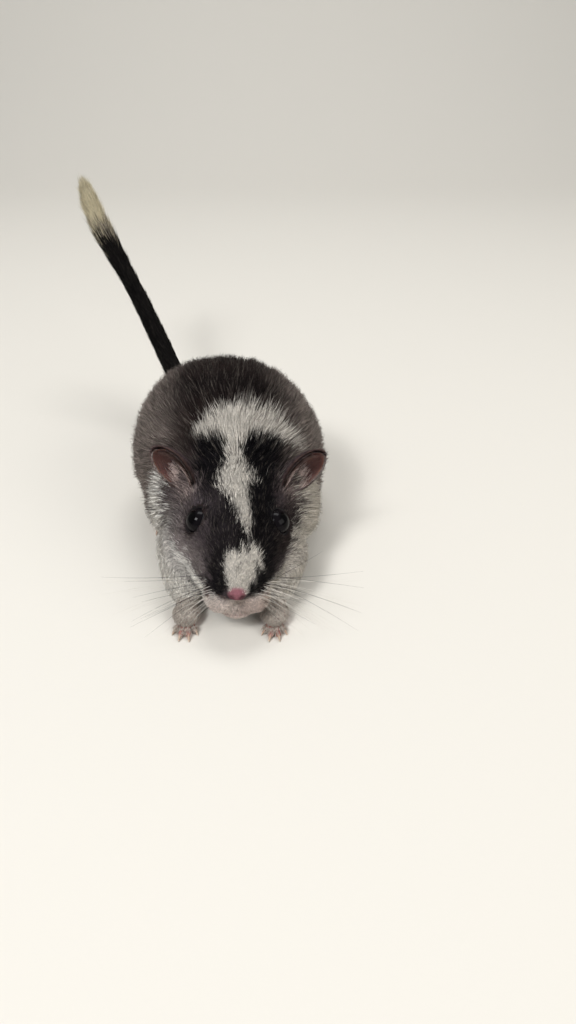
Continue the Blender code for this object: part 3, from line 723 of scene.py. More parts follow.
def head_traits(points):
    """The traits on the head: more on cheeks and lips, less on the chin, by the mouth and by the eyes."""
    head = to_head(points)
    out, back, level = np.abs(head[:, 0]), head[:, 1], head[:, 2]
    values = np.stack(columns_at(HEAD_TRAITS, back), axis=-1)
    cheek = step(out, 11, 16) * step(4 - level, 0, 5) * step(back, 14, 22)
    values[:, :3] += cheek[:, None] * (0.4, 0.4, 1.4)
    values[:, 0] *= 1 - 0.4 * (step(-5.5 - level, 0, 2) * (1 - step(back, 8, 14)))
    lips = step(-3.2 - level, 0, 1.5) * (1 - step(back, 8, 12))
    values += lips[:, None] * (0.0, 0.45, 1.2, 0.01, 4.0)
    by_mouth = bump(line_distance(mirrored(head), MOUTH), 0, 1.2) * by_midline(head)
    values[:, 1:3] *= 1 - 0.6 * by_mouth[:, None]
    by_eye = 1 - step(eye_distance(points), 3.9, 7.0)
    values[:, :3] *= 1 - by_eye[:, None] * (0.75, 0.7, 0.5)
    return values


def traits(points, share):
    """The skin's inset, and the rise, length, half width and density of the tufts, at points."""
    _, y, z = (points - DRAWING).T
    values = head_traits(points) * share[:, :1]
    for i, part in enumerate(COAT_PARTS[1:], 1):
        values += share[:, i : i + 1] * np.array(TRAITS[part])
    wrist = share[:, FORELEG] * (1 - step(y, 9, 17))
    values[:, :3] *= 1 - wrist[:, None] * (0.55, 0.5, 0.35)
    low_leg = share[:, HIND_LEG] * (1 - step(z, 5, 13))
    values[:, :3] *= 1 - low_leg[:, None] * (0.6, 0.6, 0.45)
    left = tail_left(points)
    brush = share[:, TAIL] * (1 - step(left, 18, 42)) * step(left, -6, 5)
    values[:, 1:4] += brush[:, None] * (1.45, 3.2, 0.01)
    values[:, 4] *= 1 - 0.5 * (share[:, TORSO] * (1 - step(z, 5, 12)))
    return values


def tail_left(points):
    """How far points are from the end of the tail's flesh."""
    return np.linalg.norm(points - TAIL_END, axis=1)


# forms of the face in the head's frame: half the mouth from its middle, the philtrum downwards, and the
# middles of the left nostril, the nose pad and the left whisker pad
MOUTH = ((0.0, 0.4, -7.0), (2.6, 0.9, -7.2), (5.2, 3.2, -7.4), (7.0, 7.2, -8.0))
PHILTRUM = ((0.0, 0.3, -2.2), (0.0, 1.5, -4.4), (0.0, 0.7, -6.8))
NOSTRIL = (1.25, 0.35, -0.75)
NOSE_PAD = (0, 1.4, -0.5), (2.1, 2.2, 1.8)  # middle and half sizes of the bare skin
HAIRLESS_PAD = (0, 1.6, -0.4), (2.0, 2.2, 1.7)  # and of the part without hairs
WHISKER_PAD = (3.5, 1.6, -4.7)


def line_distance(points, line):
    """The distance from each point to a line of straight stretches."""
    line = np.asarray(line, float)
    best = np.full(len(points), 1e3)
    for a, b in zip(line[:-1], line[1:]):
        way = b - a
        share = np.clip((points - a) @ way / (way @ way), 0, 1)
        best = np.minimum(best, np.linalg.norm(points - a - share[:, None] * way, axis=1))
    return best


def mirrored(head):
    """Points of the head's frame, all brought to its left half."""
    return np.column_stack([np.abs(head[:, 0]), head[:, 1:]])


def ovoid_distance(points, middle, sizes):
    """1 on the surface of an ovoid of these half sizes, less inside it and more outside."""
    return np.linalg.norm((points - middle) / sizes, axis=1)


def by_midline(head):
    """1 near the middle of the face, where the mouth shows between the hairs, and 0 towards its corners."""
    return 1 - step(np.abs(head[:, 0]), 2.2, 4.6)


def eye_look(side):
    """The way that an eye looks, out of its lids."""
    return unit(HEAD_TURN @ (np.array(EYE_LOOK) * (side, 1, 1)))


def in_eye_opening(points, outside, inside, reach):
    """1 before an eye and 0 elsewhere, by the cosine of the angle from the way it looks, within reach."""
    found = np.zeros(len(points))
    for side, centre in EYES.items():
        off = points - centre
        near = 1 - step(np.linalg.norm(off, axis=1), reach, reach + 0.4)
        found = np.maximum(found, near * step(unit(off) @ eye_look(side), outside, inside))
    return found


def face_relief(points):
    """How far the face is drawn in at points: mouth and philtrum are bells across their lines.

    The nostrils are round bells, the two whisker pads are round bells that stand out, and the chin lies a
    little behind the lip.
    """
    head = to_head(points)
    folded = mirrored(head)
    mouth = bump(line_distance(folded, curve(MOUTH, np.linspace(0, 3, 13))), 0, 0.42)
    mouth *= 0.35 + 0.45 * by_midline(head)
    philtrum = 0.75 * bump(line_distance(folded, PHILTRUM), 0, 0.5)
    nostril = 1.1 * bump(ovoid_distance(folded, NOSTRIL, (1.0, 1.0, 0.75)), 0, 0.6)
    whisker_pad = 0.6 * bump(np.linalg.norm(folded - WHISKER_PAD, axis=1), 0, 2.4)
    chin = 0.7 * step(-7.6 - head[:, 2], 0, 0.8) * (1 - step(head[:, 1], 5, 11))
    opening = in_eye_opening(points, 0.40, 0.50, 3.85)
    return np.max([mouth, philtrum, nostril, opening], axis=0) + chin - whisker_pad


def make_skin():
    """One closed skin over head, body, legs and tail: fused, eased, and drawn in by the coat's depth.

    The face and the tail are eased less than the rest, and the face keeps the most points.
    """
    parts = [grown_node(name, 0.25) for name in (*FLESH, "eye_left", "eye_right")]
    at = np.linspace(0, len(TAIL_LINE) - 1, 60)
    rows = curve(np.column_stack([TAIL_LINE, TAIL_SKIN]), at)
    parts.append(tube("tail_skin", from_drawing(rows[:, :3]), rows[:, 3], sides=24))
    mesh = joined("fused", parts)
    mesh = with_modifier(mesh, "REMESH", mode="VOXEL", voxel_size=SKIN_VOXEL * MM)
    points = read(mesh)
    share = part_shares(points)
    face = share[:, HEAD] * (1 - step(to_head(points)[:, 1], 8, 20))
    firm = np.clip(face + share[:, TAIL] + 0.4 * share[:, FORELEG], 0, 1)
    mesh = with_modifier(mesh, "SMOOTH", factor=0.5, iterations=6)
    mesh = with_modifier(mesh, "SMOOTH", factor=0.5, iterations=70, weights=1 - firm)
    spare = np.clip(1 - share[:, HEAD] * (1 - step(to_head(points)[:, 1], 20, 32)), 0.02, 1)
    fewer = {"decimate_type": "COLLAPSE", "ratio": KEPT_FACES, "use_collapse_triangulate": True}
    mesh = with_modifier(mesh, "DECIMATE", weights=spare, vertex_group_factor=6.0, **fewer)
    points = read(mesh)
    links = read(mesh, "edges", "vertices", 2)
    share = relaxed(part_shares(points), links, 12)
    depth = relaxed(traits(points, share)[:, :1], links, 6)[:, 0]
    normals = relaxed(read(mesh, "vertex_normals", "vector"), links, 3)
    place_points(mesh, points - unit(normals) * (depth + face_relief(points))[:, None])
    mesh.update()
    return mesh, share


def skin_colours(points, share):
    """The coat's own colours, darker, under the bare nose, the lips, the nostrils and the dark lids."""
    named = dict(zip(COAT_PARTS, share.T))
    on_head = named["head"]
    colours, white = coat_colours(points, named)
    colours = colours * (0.6 + 0.05 * white[:, None])
    head = to_head(points)
    folded = mirrored(head)
    from_mouth, from_philtrum = (line_distance(folded, line) for line in (MOUTH, PHILTRUM))
    nostril = bump(np.linalg.norm(folded - NOSTRIL, axis=1), 0, 0.75)
    layers = (
        (on_head * (1 - step(ovoid_distance(head, *NOSE_PAD), 0.85, 1.25)), "nose"),
        (0.45 * (on_head * bump(from_mouth, 0, 1.3) * by_midline(head)), "lip"),
        (on_head * 0.7 * bump(from_philtrum, 0, 0.7), "nose"),
        # painted shade: near-black in the nostrils and along the mouth's crease, where these hollows fall
        # dark
        (on_head * np.maximum(0.8 * bump(from_mouth, 0, 0.4), nostril), "nostril"),
        (1 - step(eye_distance(points), 3.6, 4.4), "lid"),
    )
    for amount, name in layers:
        colours = mixed(colours, amount, name)
    return colours


# ---------------- coat


def lie_of_coat(points, share):
    """The way the hair lies: from the nose and round the eyes, from the nape, and along legs and tail."""
    drawing = points - DRAWING
    from_nose = unit(to_head(points) - (0.0, 1.5, -1.0)) @ HEAD_TURN.T
    for centre in EYES.values():
        off = points - centre
        near = 1 - step(np.linalg.norm(off, axis=1), 4.0, 6.5)
        from_nose += 1.1 * near[:, None] * unit(off)
    nape = unit(drawing - NAPE) + (0, 0, -0.22)
    ways = {
        "head": from_nose,
        "neck": nape,
        "torso": nape,
        "foreleg": np.tile((0.0, -0.8, -0.6), (len(points), 1)),
        "hind_leg": np.tile((0.0, 0.65, -0.75), (len(points), 1)),
        "tail": unit(np.gradient(TAIL_CURVE, axis=0))[nearest_row(drawing, TAIL_CURVE)],
    }
    return unit(sum(share[:, i : i + 1] * unit(ways[part]) for i, part in enumerate(COAT_PARTS)))


def nearest_row(points, line):
    """The nearest of a few rows, by the smallest distance found so far."""
    best, found = np.full(len(points), 1e9), np.zeros(len(points), int)
    for i, row in enumerate(line):
        away = np.linalg.norm(points - row, axis=1)
        closer = away < best
        best[closer], found[closer] = away[closer], i
    return found


def scattered(mesh, density, rng):
    """Roots spread over triangles by area and density: each root's corners and its share of each."""
    points = read(mesh)
    corners = read(mesh, "loops", "vertex_index", 1).reshape(-1, 3)
    a, b, c = (points[corners[:, i]] for i in range(3))
    area = 0.5 * np.linalg.norm(np.cross(b - a, c - a), axis=1)
    weight = np.cumsum(area * density[corners].mean(axis=1))
    count = int(weight[-1])
    chosen = np.searchsorted(weight, (np.arange(count) + rng.uniform(0, 1, count)) * weight[-1] / count)
    chosen = np.clip(chosen, 0, len(corners) - 1)
    u, v = rng.uniform(0, 1, (2, count))
    over = u + v > 1
    u[over], v[over] = 1 - u[over], 1 - v[over]
    return corners[chosen], np.stack([1 - u - v, u, v], axis=-1)


def carried(values, corners, corner_share):
    """Values at a mesh's points, read at scattered places."""
    return (values[corners] * corner_share[:, :, None]).sum(axis=1)


GUARD_SHARE = 0.1  # the share of tufts that are longer, thinner guard hairs that stand up more
LOCK_CELL = 1.5  # the size of the cells whose hairs draw together
PIECE_TUFTS = 33000  # about the most tufts in one piece
SPINDLE_FACES = np.array(((0, 2, 1), (0, 3, 2), (0, 1, 3), (4, 1, 2), (4, 2, 3), (4, 3, 1)))
PATCH = 0.003 * np.array(((0.0, 0.5), (0.4, 0.05), (0.4, 0.95), (0.4, 0.5), (1.0, 0.5)))


def spindles(roots, middles, tips, normals, half_width):
    """Closed tufts of five points: a root, a flat ring of three at the middle and a tip."""
    along = unit(tips - roots)
    side = unit(np.cross(along, normals))
    up = np.cross(side, along)
    wide = half_width[:, None]
    ring = [
        middles + side * wide,
        middles - 0.5 * side * wide + 0.55 * up * wide,
        middles - 0.5 * side * wide - 0.55 * up * wide,
    ]
    return np.stack([roots, *ring, tips], axis=1)


def coat_piece(name, points, colours, places, finish, slot):
    """A piece from tufts (count, 5, 3), colours (count, 3 levels, 3) and unwrap places (count, 2)."""
    count = len(points)
    faces = (np.arange(count)[:, None, None] * 5 + SPINDLE_FACES).reshape(-1, 3)
    mesh = mesh_of(name, points.reshape(-1, 3), [faces])
    level = np.array((0, 1, 1, 1, 2))
    colour_layer(mesh, colours[:, level].reshape(-1, 3))
    unwrap = mesh.uv_layers.new(name="OFBake")
    low, high = places.min(axis=0), places.max(axis=0)
    spread = 0.005 + 0.985 * (places - low) / (high - low)
    patch = (spread[:, None] + PATCH).reshape(-1, 2)
    unwrap.uv.foreach_set("vector", patch[faces.ravel()].astype(np.float32).ravel())
    return piece(mesh, name, finish, slot)


def round_unwrap(points, centre):
    """A globe's unwrap, its poles before and behind: the turn about the length, and the angle from it."""
    off = points - centre
    turn = np.arctan2(off[:, 0], off[:, 2]) / (2 * math.pi) + 0.5
    return np.stack([turn, np.arccos(unit(off)[:, 1]) / math.pi], axis=-1)


def unwrapped(points, part):
    """Each root's place on an unwrap of the skin: globes for head and body, tubes for legs and tail."""
    drawing = points - DRAWING
    outward = np.abs(drawing[:, 0] - np.where(part == HIND_LEG, BELLY_MIDDLE, CHEST_MIDDLE))
    left = drawing[:, 0] > -3.5
    row = nearest_row(drawing, TAIL_CURVE)
    _, across, up = frames_along(TAIL_CURVE)
    off = drawing - TAIL_CURVE[row]
    turn = {
        FORELEG: np.arctan2(outward - 12, drawing[:, 2] - 0.4 * drawing[:, 1] - 2),
        HIND_LEG: np.arctan2(outward - 17.5, drawing[:, 1] - 61),
        TAIL: np.arctan2((off * across[row]).sum(axis=1), (off * up[row]).sum(axis=1)),
    }
    along = {FORELEG: drawing[:, 1] / 32, HIND_LEG: drawing[:, 2] / 34, TAIL: row / len(TAIL_CURVE)}
    places = round_unwrap(drawing, BODY_CENTRE)
    on_head = part == HEAD
    places[on_head] = round_unwrap(to_head(points[on_head]), HEAD_CENTRE)
    for number in (FORELEG, HIND_LEG, TAIL):
        rows = part == number
        u = turn[number][rows] / (2 * math.pi) + 0.5
        v = along[number][rows]
        if number != TAIL:  # each leg has a quarter of the picture
            u = 0.49 * u + 0.5 * left[rows]
            v = 0.49 * np.clip(v, 0, 1) + 0.5 * (number == HIND_LEG)
        places[rows] = np.stack([u, v], axis=-1)
    return places


def locks_drawn_together(tips, roots, cell, share, rng):
    """Moves each tip towards where its cell's hairs reach on the mean, and gives each such lock a tone."""
    shifted = roots + cell * 0.5 * noise_vectors(roots, 3.1, (31, 32, 33))
    keys = np.floor(shifted / cell).astype(np.int64) @ np.array((73856093, 19349663, 83492791))
    _, lock = np.unique(keys, return_inverse=True)
    count = np.bincount(lock)
    mean_root, mean_reach = (
        np.stack([np.bincount(lock, column) / count for column in values.T], axis=-1)
        for values in (roots, tips - roots)
    )
    drawn = mean_root[lock] + mean_reach[lock]
    tone = rng.normal(0, 1, len(count))[lock]
    return tips + (drawn - tips) * share[:, None], tone


def narrowed(points, share):
    """Points past the end of the tail's flesh, drawn in towards its line the more, the further past."""
    past = (points - TAIL_END) @ TAIL_WAY
    beside = points - TAIL_END - past[:, None] * TAIL_WAY
    narrow = np.clip(1 - past / 15.0, 0.38, 1.0) ** 0.8
    return points - beside * (1 - narrow)[:, None] * share


def coat_density(points, density):
    """Tufts a square millimetre. The nose pad, the mouth, the philtrum and the eye openings stay bare."""
    head = to_head(points)
    folded = mirrored(head)
    density = density * step(ovoid_distance(head, *HAIRLESS_PAD), 0.9, 1.15)
    density *= 1 - (1 - step(line_distance(folded, MOUTH), 0.35, 0.9)) * by_midline(head)
    density *= step(line_distance(folded, PHILTRUM), 0.25, 0.55)
    density *= 1 - in_eye_opening(points, 0.22, 0.34, 3.5)
    density[points[:, 2] < 0.4] = 0
    return density


def coat_regions(part, roots):
    """The pieces of the coat by name: which tufts each holds, and its slot."""
    _, back, level = to_head(roots).T
    _, y, z = (roots - DRAWING).T
    on_head, on_torso = part == HEAD, part == TORSO
    upper_head, rump = on_head & (back >= 15), on_torso & (y >= 50)
    return {
        "coat_muzzle": (on_head & (back < 15), "coat_face"),
        "coat_crown": (upper_head & (level > 2), "coat_face"),
        "coat_cheeks": (upper_head & (level <= 2), "coat_face"),
        "coat_neck": (part == NECK, "coat_white"),
        "coat_shoulders": (on_torso & (y < 50), "coat_dark"),
        "coat_back": (rump & (z > 30), "coat_dark"),
        "coat_flanks": (rump & (z <= 30) & (z > 12), "coat_dark"),
        "coat_belly": (rump & (z <= 12), "coat_white"),
        "coat_legs": ((part == FORELEG) | (part == HIND_LEG), "coat_white"),
        "coat_tail": (part == TAIL, "coat_tail"),
    }


def make_coat(skin, share):
    """The coat in tufts over the skin. A tuft's middle and tip lie at set heights over the nearest skin.

    On the tail they stand free: heights are taken from the root, and the tail's tuft narrows to its end.
    """
    rng = np.random.default_rng(5)
    points = read(skin)
    values = traits(points, share)
    corners, corner_share = scattered(skin, coat_density(points, values[:, 4]), rng)
    roots = carried(points, corners, corner_share)
    normals = unit(carried(read(skin, "vertex_normals", "vector"), corners, corner_share))
    root_share = carried(share, corners, corner_share)
    _, rise, length, half_width, _ = carried(values, corners, corner_share).T
    count = len(roots)
    on_tail = root_share[:, TAIL]

    sway = 0.22 * noise_vectors(roots, 7, (21, 22, 23)) + rng.normal(0, 0.13, (count, 3))
    way = along_surface(lie_of_coat(roots, root_share) + sway * (1 - 0.55 * on_tail[:, None]), normals)
    length = length * rng.uniform(0.72, 1.25, count)
    guard = rng.uniform(0, 1, count) < GUARD_SHARE
    length[guard] *= 1.2
    stand = rng.uniform(1.1, 1.6, count)
    lift = rise * np.where(guard, stand, rng.uniform(0.45, 1.1, count)) + 0.05
    half_width = half_width * np.where(guard, 0.7, 1.0)
    slope = np.minimum(lift / length, 0.8)
    flat_reach = length * np.sqrt(1 - slope**2)
    free = step(on_tail, 0.4, 0.8)[:, None]

    def laid(out, over, free_over):
        """Points out along the tufts at a height over the skin or, where they stand free, over the root."""
        flat = roots + way * (out * flat_reach)[:, None]
        ground, ground_normal = nearest_on(skin, flat)
        over_ground = ground + ground_normal * (over * lift)[:, None]
        return blend(over_ground, flat + normals * (free_over * lift)[:, None], free), ground_normal

    tips, _ = laid(1.0, 1.0, 1.0)
    tips, tone = locks_drawn_together(tips, roots, LOCK_CELL, 0.35 * rng.uniform(0.4, 1.3, count), rng)
    tips = narrowed(tips, free)
    middles, middle_normals = laid(0.5, 0.68, 0.64)
    middles = narrowed(middles, free)
    starts = roots - 0.25 * normals
    for ends, lowest in ((tips, 0.15), (middles, 0.15), (starts, 0.1)):
        ends[:, 2] = np.maximum(ends[:, 2], lowest)
    tufts = spindles(starts, middles, tips, middle_normals, half_width)

    named = dict(zip(COAT_PARTS, root_share.T))
    stray = (0.1 + 0.22 * on_tail + 0.09 * named["head"]) * length
    colours, white = coat_colours(middles + stray[:, None] * rng.normal(0, 1, (count, 3)), named)
    colours = agouti(colours, white, named, middles, tone, guard, rng)
    part = np.argmax(root_share, axis=1)
    places = unwrapped(roots, part)
    finish = fur_finish("gerbil_fur")
    for name, (chosen, slot) in coat_regions(part, roots).items():
        rows = np.flatnonzero(chosen)
        shares = np.array_split(rows, 1 + len(rows) // PIECE_TUFTS)
        for i, some in enumerate(shares):
            label = name if len(shares) == 1 else f"{name}_{i + 1}"
            coat_piece(label, tufts[some], colours[some], places[some], finish, slot)


def agouti(colours, white, named, points, tone, guard, rng):
    """Root, middle and tip colours of each tuft: slate roots, the marking's colour and some pale ticks."""
    count = len(colours)
    dark = 1 - white
    on_head, on_tail = named["head"], named["tail"]
    slate = 0.22 * white * (1 - 0.6 * on_head)
    roots = colours * (0.55 * dark + (0.66 + 0.1 * on_head) * white)[:, None]
    roots = blend(roots, COLOURS["white_root"], slate[:, None])
    shade = 1 + (0.07 + 0.09 * dark) * tone + rng.normal(0, 1, count) * (0.1 + 0.08 * dark)
    middles = colours * shade[:, None]
    tips = middles * (1 + 0.35 * dark - 0.02 * white)[:, None]
    body = named["torso"] + named["neck"] + named["hind_leg"]
    side = step(np.abs((points - DRAWING)[:, 0] + 5) / BODY_HALF_WIDTH, 0.35, 0.9)
    chance = dark * (body * (0.13 + 0.36 * side) + 0.1 * on_head + 0.22 * on_tail)
    ticked = rng.uniform(0, 1, count) < chance
    brightness = np.clip(0.25 + 4.5 * middles.mean(axis=1, keepdims=True), 0.3, 0.8)
    brightness = np.maximum(brightness, 0.45 * body[:, None])
    pale = COLOURS["tick"] * rng.uniform(0.5, 1.2, (count, 1)) * brightness
    pale *= 1 - 0.72 * on_tail[:, None]
    tips[ticked] = pale[ticked]
    middles[ticked] = 0.7 * middles[ticked] + 0.3 * pale[ticked]
    black = guard & ~ticked & (rng.uniform(0, 1, count) < 0.5)
    tips[black] *= 0.45
    return np.stack([roots, middles, tips], axis=1)


# ---------------- eyes and lids


CORNEA_RISE = 0.035  # as a share of the eye's radius
LID_CLEARANCE = 0.16
LID_THICKNESS = (0.21, 0.05)  # the mean half thickness, and how much it changes round the eye
LID_OPENING = (1.42, 0.16)  # how far before the eye's middle the opening lies, and how much that changes


def eye_mesh(centre, look, across, up):
    """A ball whose radius swells by a bell of the angle from the way it looks, which is the cornea."""
    fall = np.linspace(0, math.pi, 42)[1:-1]
    radius = EYE_RADIUS * (1 + CORNEA_RISE * bump(fall, 0, 0.75))
    ahead, out = (radius * np.cos(fall))[:, None, None], (radius * np.sin(fall))[:, None, None]
    rings = centre + look * ahead + out * ways_round(round_angles(64), across, up)
    front, rear = look * EYE_RADIUS * (1 + CORNEA_RISE), look * EYE_RADIUS
    points, groups = shell(rings, centre + front, centre - rear)
    mesh = outward_mesh("eye", points, groups)
    pupil = step(unit(points - centre) @ look, 0.78, 0.86)
    colour_layer(mesh, COLOURS["iris"] * (1.6 - 1.2 * pupil[:, None]))
    return mesh


def lid_mesh(centre, look, across, up):
    """A rounded ring just over the ball: a circle carried round an oval of angles from the way it looks."""
    turn, section = round_angles(64), round_angles(12)
    opening = np.arccos((LID_OPENING[0] + LID_OPENING[1] * np.cos(2 * turn - 0.5)) / EYE_RADIUS)
    thick = (LID_THICKNESS[0] + LID_THICKNESS[1] * np.cos(turn))[:, None]
    away = EYE_RADIUS + LID_CLEARANCE + thick * 0.75 * np.cos(section)
    lean = opening[:, None] + (thick * 1.5 * np.sin(section) + 0.25) / EYE_RADIUS
    ways = ways_round(turn, across, up)[:, None]
    points = centre + look * (away * np.cos(lean))[:, :, None] + ways * (away * np.sin(lean))[:, :, None]
    index = np.pad(np.arange(away.size).reshape(away.shape), ((0, 1), (0, 1)), mode="wrap")
    mesh = outward_mesh("lid", points.reshape(-1, 3), [grid_faces(index)])
    colour_layer(mesh, np.tile(COLOURS["lid"], (away.size, 1)))
    return mesh


def make_eyes():
    """Each eye is a ball with a slightly raised cornea, and its lid rim is a ring round the opening."""
    glass, rim_skin = eye_finish(), bare_skin_finish("lid_rim_skin", 0.35, 0.05, 0.62)
    for word, side in SIDES.items():
        look = eye_look(side)
        across = unit(np.cross((0, 0, 1), look))
        shape = (EYES[side], look, across, np.cross(look, across))
        piece(eye_mesh(*shape), f"eye_{word}_ball", glass, "eye_black", f"eye_{word}")
        piece(lid_mesh(*shape), f"eyelid_{word}", rim_skin, "ear_skin")


# ---------------- ears

# the left ear in the head's frame: its root, the way it points, the way its cup faces, and its sizes
EAR_ROOT = np.array((11.6, 30.0, 3.5))
EAR_DIRECTION = unit(np.array((0.61, 0.28, 0.74)))
EAR_FACE = np.array((0.35, -0.93, 0.10))
EAR_LENGTH = 14.6
EAR_HALF_WIDTH = 4.4
EAR_CUP = 3.0
EAR_THICKNESS = 0.62
EAR_ROWS, EAR_SECTORS = 24, 72  # rings from the middle to the rim, and points round each
# kinds of hair: how many, length, rise, the thickness of the shell under them, colour and unwrap place
EAR_HAIRS = {
    "back": (2800, 1.9, 0.2, 0.6, "ear_back", 0.1),
    "rim": (1100, 1.0, 0.3, 0.6, "ear_rim", 0.4),
    "inside": (200, 1.2, 0.3, 0.0, "ear_rim", 0.6),
    "front": (5200, 3.7, 0.42, 0.0, "cheek", 0.78),
    "edge": (3400, 2.3, 0.55, 0.0, "ear_edge", 0.8),
}


def ear_height(share, turn):
    """How far up the ear a place is: 0 at its root and 1 at its tip."""
    return 0.5 - 0.5 * share * np.cos(turn)


def ear_point(share, turn, side, thickness):
    """A place on the ear's cup from how far out it is and the angle round it, set back by a thickness.

    The rim is an oval. The cup is a parabola, deeper near the root, with a rolled edge and two low folds.
    """
    face = unit(EAR_FACE - (EAR_FACE @ EAR_DIRECTION) * EAR_DIRECTION)
    across = np.cross(EAR_DIRECTION, face)
    up = ear_height(share, turn)
    over = EAR_HALF_WIDTH * (1 - 0.3 * (1 - up) ** 2) * share * np.sin(turn)
    deep = EAR_CUP * (1 - share**2) * (1 + 0.5 * (1 - up))
    roll = 0.45 * step(share, 0.86, 1.0)
    fold = 0.38 * bump(over, 1.4, 0.55) * step(0.75 - up, 0, 0.35) * step(up, 0.1, 0.3)
    fold += 0.3 * bump(over, -1.6, 0.5) * step(0.6 - up, 0, 0.3) * step(up, 0.1, 0.3)
    out = -deep + roll + fold * (1 - share**4) - thickness
    along = EAR_ROOT + EAR_DIRECTION * (EAR_LENGTH * up)[..., None]
    point = along + across * over[..., None] + face * out[..., None]
    return from_head(point * (side, 1, 1))


def ear_colours(share, turn, inside):
    """Flesh, painted shade low in the cup, paler at the rim, grey behind, dark at the rim by the crown."""
    up = ear_height(share, turn)
    by_crown = step(-np.sin(turn), -0.1, 0.5) * step(share, 0.93 - 0.4 * step(0.7 - up, 0, 0.4), 0.98)
    layers = (
        # painted shade: the flesh darkened low in the cup's hollow and at the cup's middle point
        (0.85 * (step(0.62 - up, 0, 0.45) * step(0.9 - share, 0, 0.5) * inside), "ear_hollow_shade"),
        (0.8 * step(share, 0.86, 0.98), "ear_rim"),
        (~inside * 0.8, "ear_back"),
        (0.7 * by_crown, "ear_edge"),
    )
    colours = np.tile(COLOURS["ear"], (up.size, 1))
    for amount, name in layers:
        colours = mixed(colours, amount.ravel(), name)
    return np.vstack([colours, COLOURS["ear_hollow_shade"], COLOURS["ear_back"]])


def make_ears():
    """Each ear is a closed shell: its grid runs from the cup's middle over the rim to its back's middle."""
    bare = bare_skin_finish("ear_skin_bare", 0.5, 0.05, 0.5)
    fine = fur_finish("ear_down")
    rng = np.random.default_rng(8)
    inner = np.linspace(0, 1, EAR_ROWS + 1)[1:]
    rows = np.concatenate([inner, inner[::-1][1:]])
    back_side = np.arange(len(rows)) >= EAR_ROWS
    rows[EAR_ROWS - 1] += 0.01
    thick = np.where(back_side, EAR_THICKNESS, 0.0)
    thick[EAR_ROWS : EAR_ROWS + 6] = EAR_THICKNESS * np.sin(np.linspace(0, math.pi / 2, 6))
    share, thickness, behind = (
        np.repeat(values[:, None], EAR_SECTORS, axis=1) for values in (rows, thick, back_side)
    )
    turn = np.tile(round_angles(EAR_SECTORS), (len(rows), 1))
    for word, side in SIDES.items():
        rings = ear_point(share, turn, side, thickness)
        middles = ear_point(np.zeros(2), np.zeros(2), side, np.array((0.0, EAR_THICKNESS)))
        points, groups = shell(rings, *middles)
        mesh = outward_mesh("ear", points, groups)
        colour_layer(mesh, ear_colours(share, turn, ~behind))
        piece(mesh, f"ear_{word}_shell", bare, "ear_skin", f"ear_{word}")
        sets = [ear_hairs(kind, side, rng) for kind in EAR_HAIRS]
        tufts, colours, places = (np.concatenate(columns) for columns in zip(*sets))
        coat_piece(f"ear_{word}_down", tufts, colours, places, fine, "ear_skin")


def ear_hairs(kind, side, rng):
    """One kind of the ear's hair: tufts, colours and unwrap places.

    Rim hairs lean outwards, those in front and at the edge lean in over the cup, and those in front are
    pale near the ear's root.
    """
    count, reach, rise, thickness, own, start = EAR_HAIRS[kind]
    turn = rng.uniform(0, 2 * math.pi, count)
    out = np.sqrt(rng.uniform(0.02, 1, count))
    if kind == "rim":
        out = rng.uniform(0.93, 1.0, count)
    if kind == "inside":
        out = rng.uniform(0.35, 0.95, count)
    if kind == "front":
        turn = rng.normal(-0.45, 0.6, count)
        out = rng.uniform(0.3, 1.0, count)
    if kind == "edge":
        turn = rng.uniform(-2.4, 0.3, count)
        out = rng.uniform(0.8, 1.0, count)
    thick = np.full(count, thickness)
    near = 1e-3
    roots, further, beside = (
        ear_point(out + a, turn + b, side, thick) for a, b in ((0, 0), (near, 0), (0, near))
    )
    normals = unit(np.cross(further - roots, beside - roots))
    centre = from_head((EAR_ROOT + EAR_DIRECTION * EAR_LENGTH * 0.5) * (side, 1, 1))
    sign = np.sign(((roots - centre) * normals).sum(axis=1))[:, None]
    normals = normals * sign * (1 if thickness else -1)
    upward = (EAR_DIRECTION * (side, 1, 1)) @ HEAD_TURN.T
    way = upward + rng.normal(0, 0.2, (count, 3))
    if kind == "rim":
        way = way * 0.6 + unit(roots - centre)
    if kind in ("front", "edge"):
        way = way + 0.6 * unit(centre - roots)
    way = along_surface(way, normals)

    length = reach * rng.uniform(0.6, 1.2, count)
    low_front = (kind == "front") * 0.95 * step(0.52 - ear_height(out, turn), 0, 0.3)[:, None]
    pale = rng.uniform(0, 1, (count, 1)) < low_front
    by_crown = (kind == "rim") * step(-np.sin(turn), -0.1, 0.5)[:, None]
    base = blend(np.where(pale, COLOURS["ear_hair"], COLOURS[own] * 1.2), COLOURS["ear_edge"], by_crown)
    length = (length * (1 + 0.6 * by_crown[:, 0]))[:, None]
    tips = roots + (way + rise * normals) * length
    middles = roots + (way * 0.45 + 0.6 * rise * normals) * length
    half_width = np.where(pale[:, 0], 0.062, 0.055)
    tufts = spindles(roots - 0.1 * normals, middles, tips, normals, half_width)
    tone = base * rng.uniform(0.6, 1.15, (count, 1))
    colours = np.stack([tone * 0.6, tone, tone * 1.25], axis=1)
    return tufts, colours, np.stack([turn / (2 * math.pi), start + 0.2 * out], axis=-1)


# ---------------- paws

# middle lines of chest and belly across the body, and how the rump is turned about a point of its own line
CHEST_MIDDLE = -2.0
BELLY_MIDDLE = -5.4
BELLY_TURN = math.radians(4.5)
BELLY_PIVOT = 61.0
# the left palm's middle, out from the chest's middle line, and its half sizes
PALM = ((10.8, 7.6, 2.2), (3.1, 4.0, 2.1))
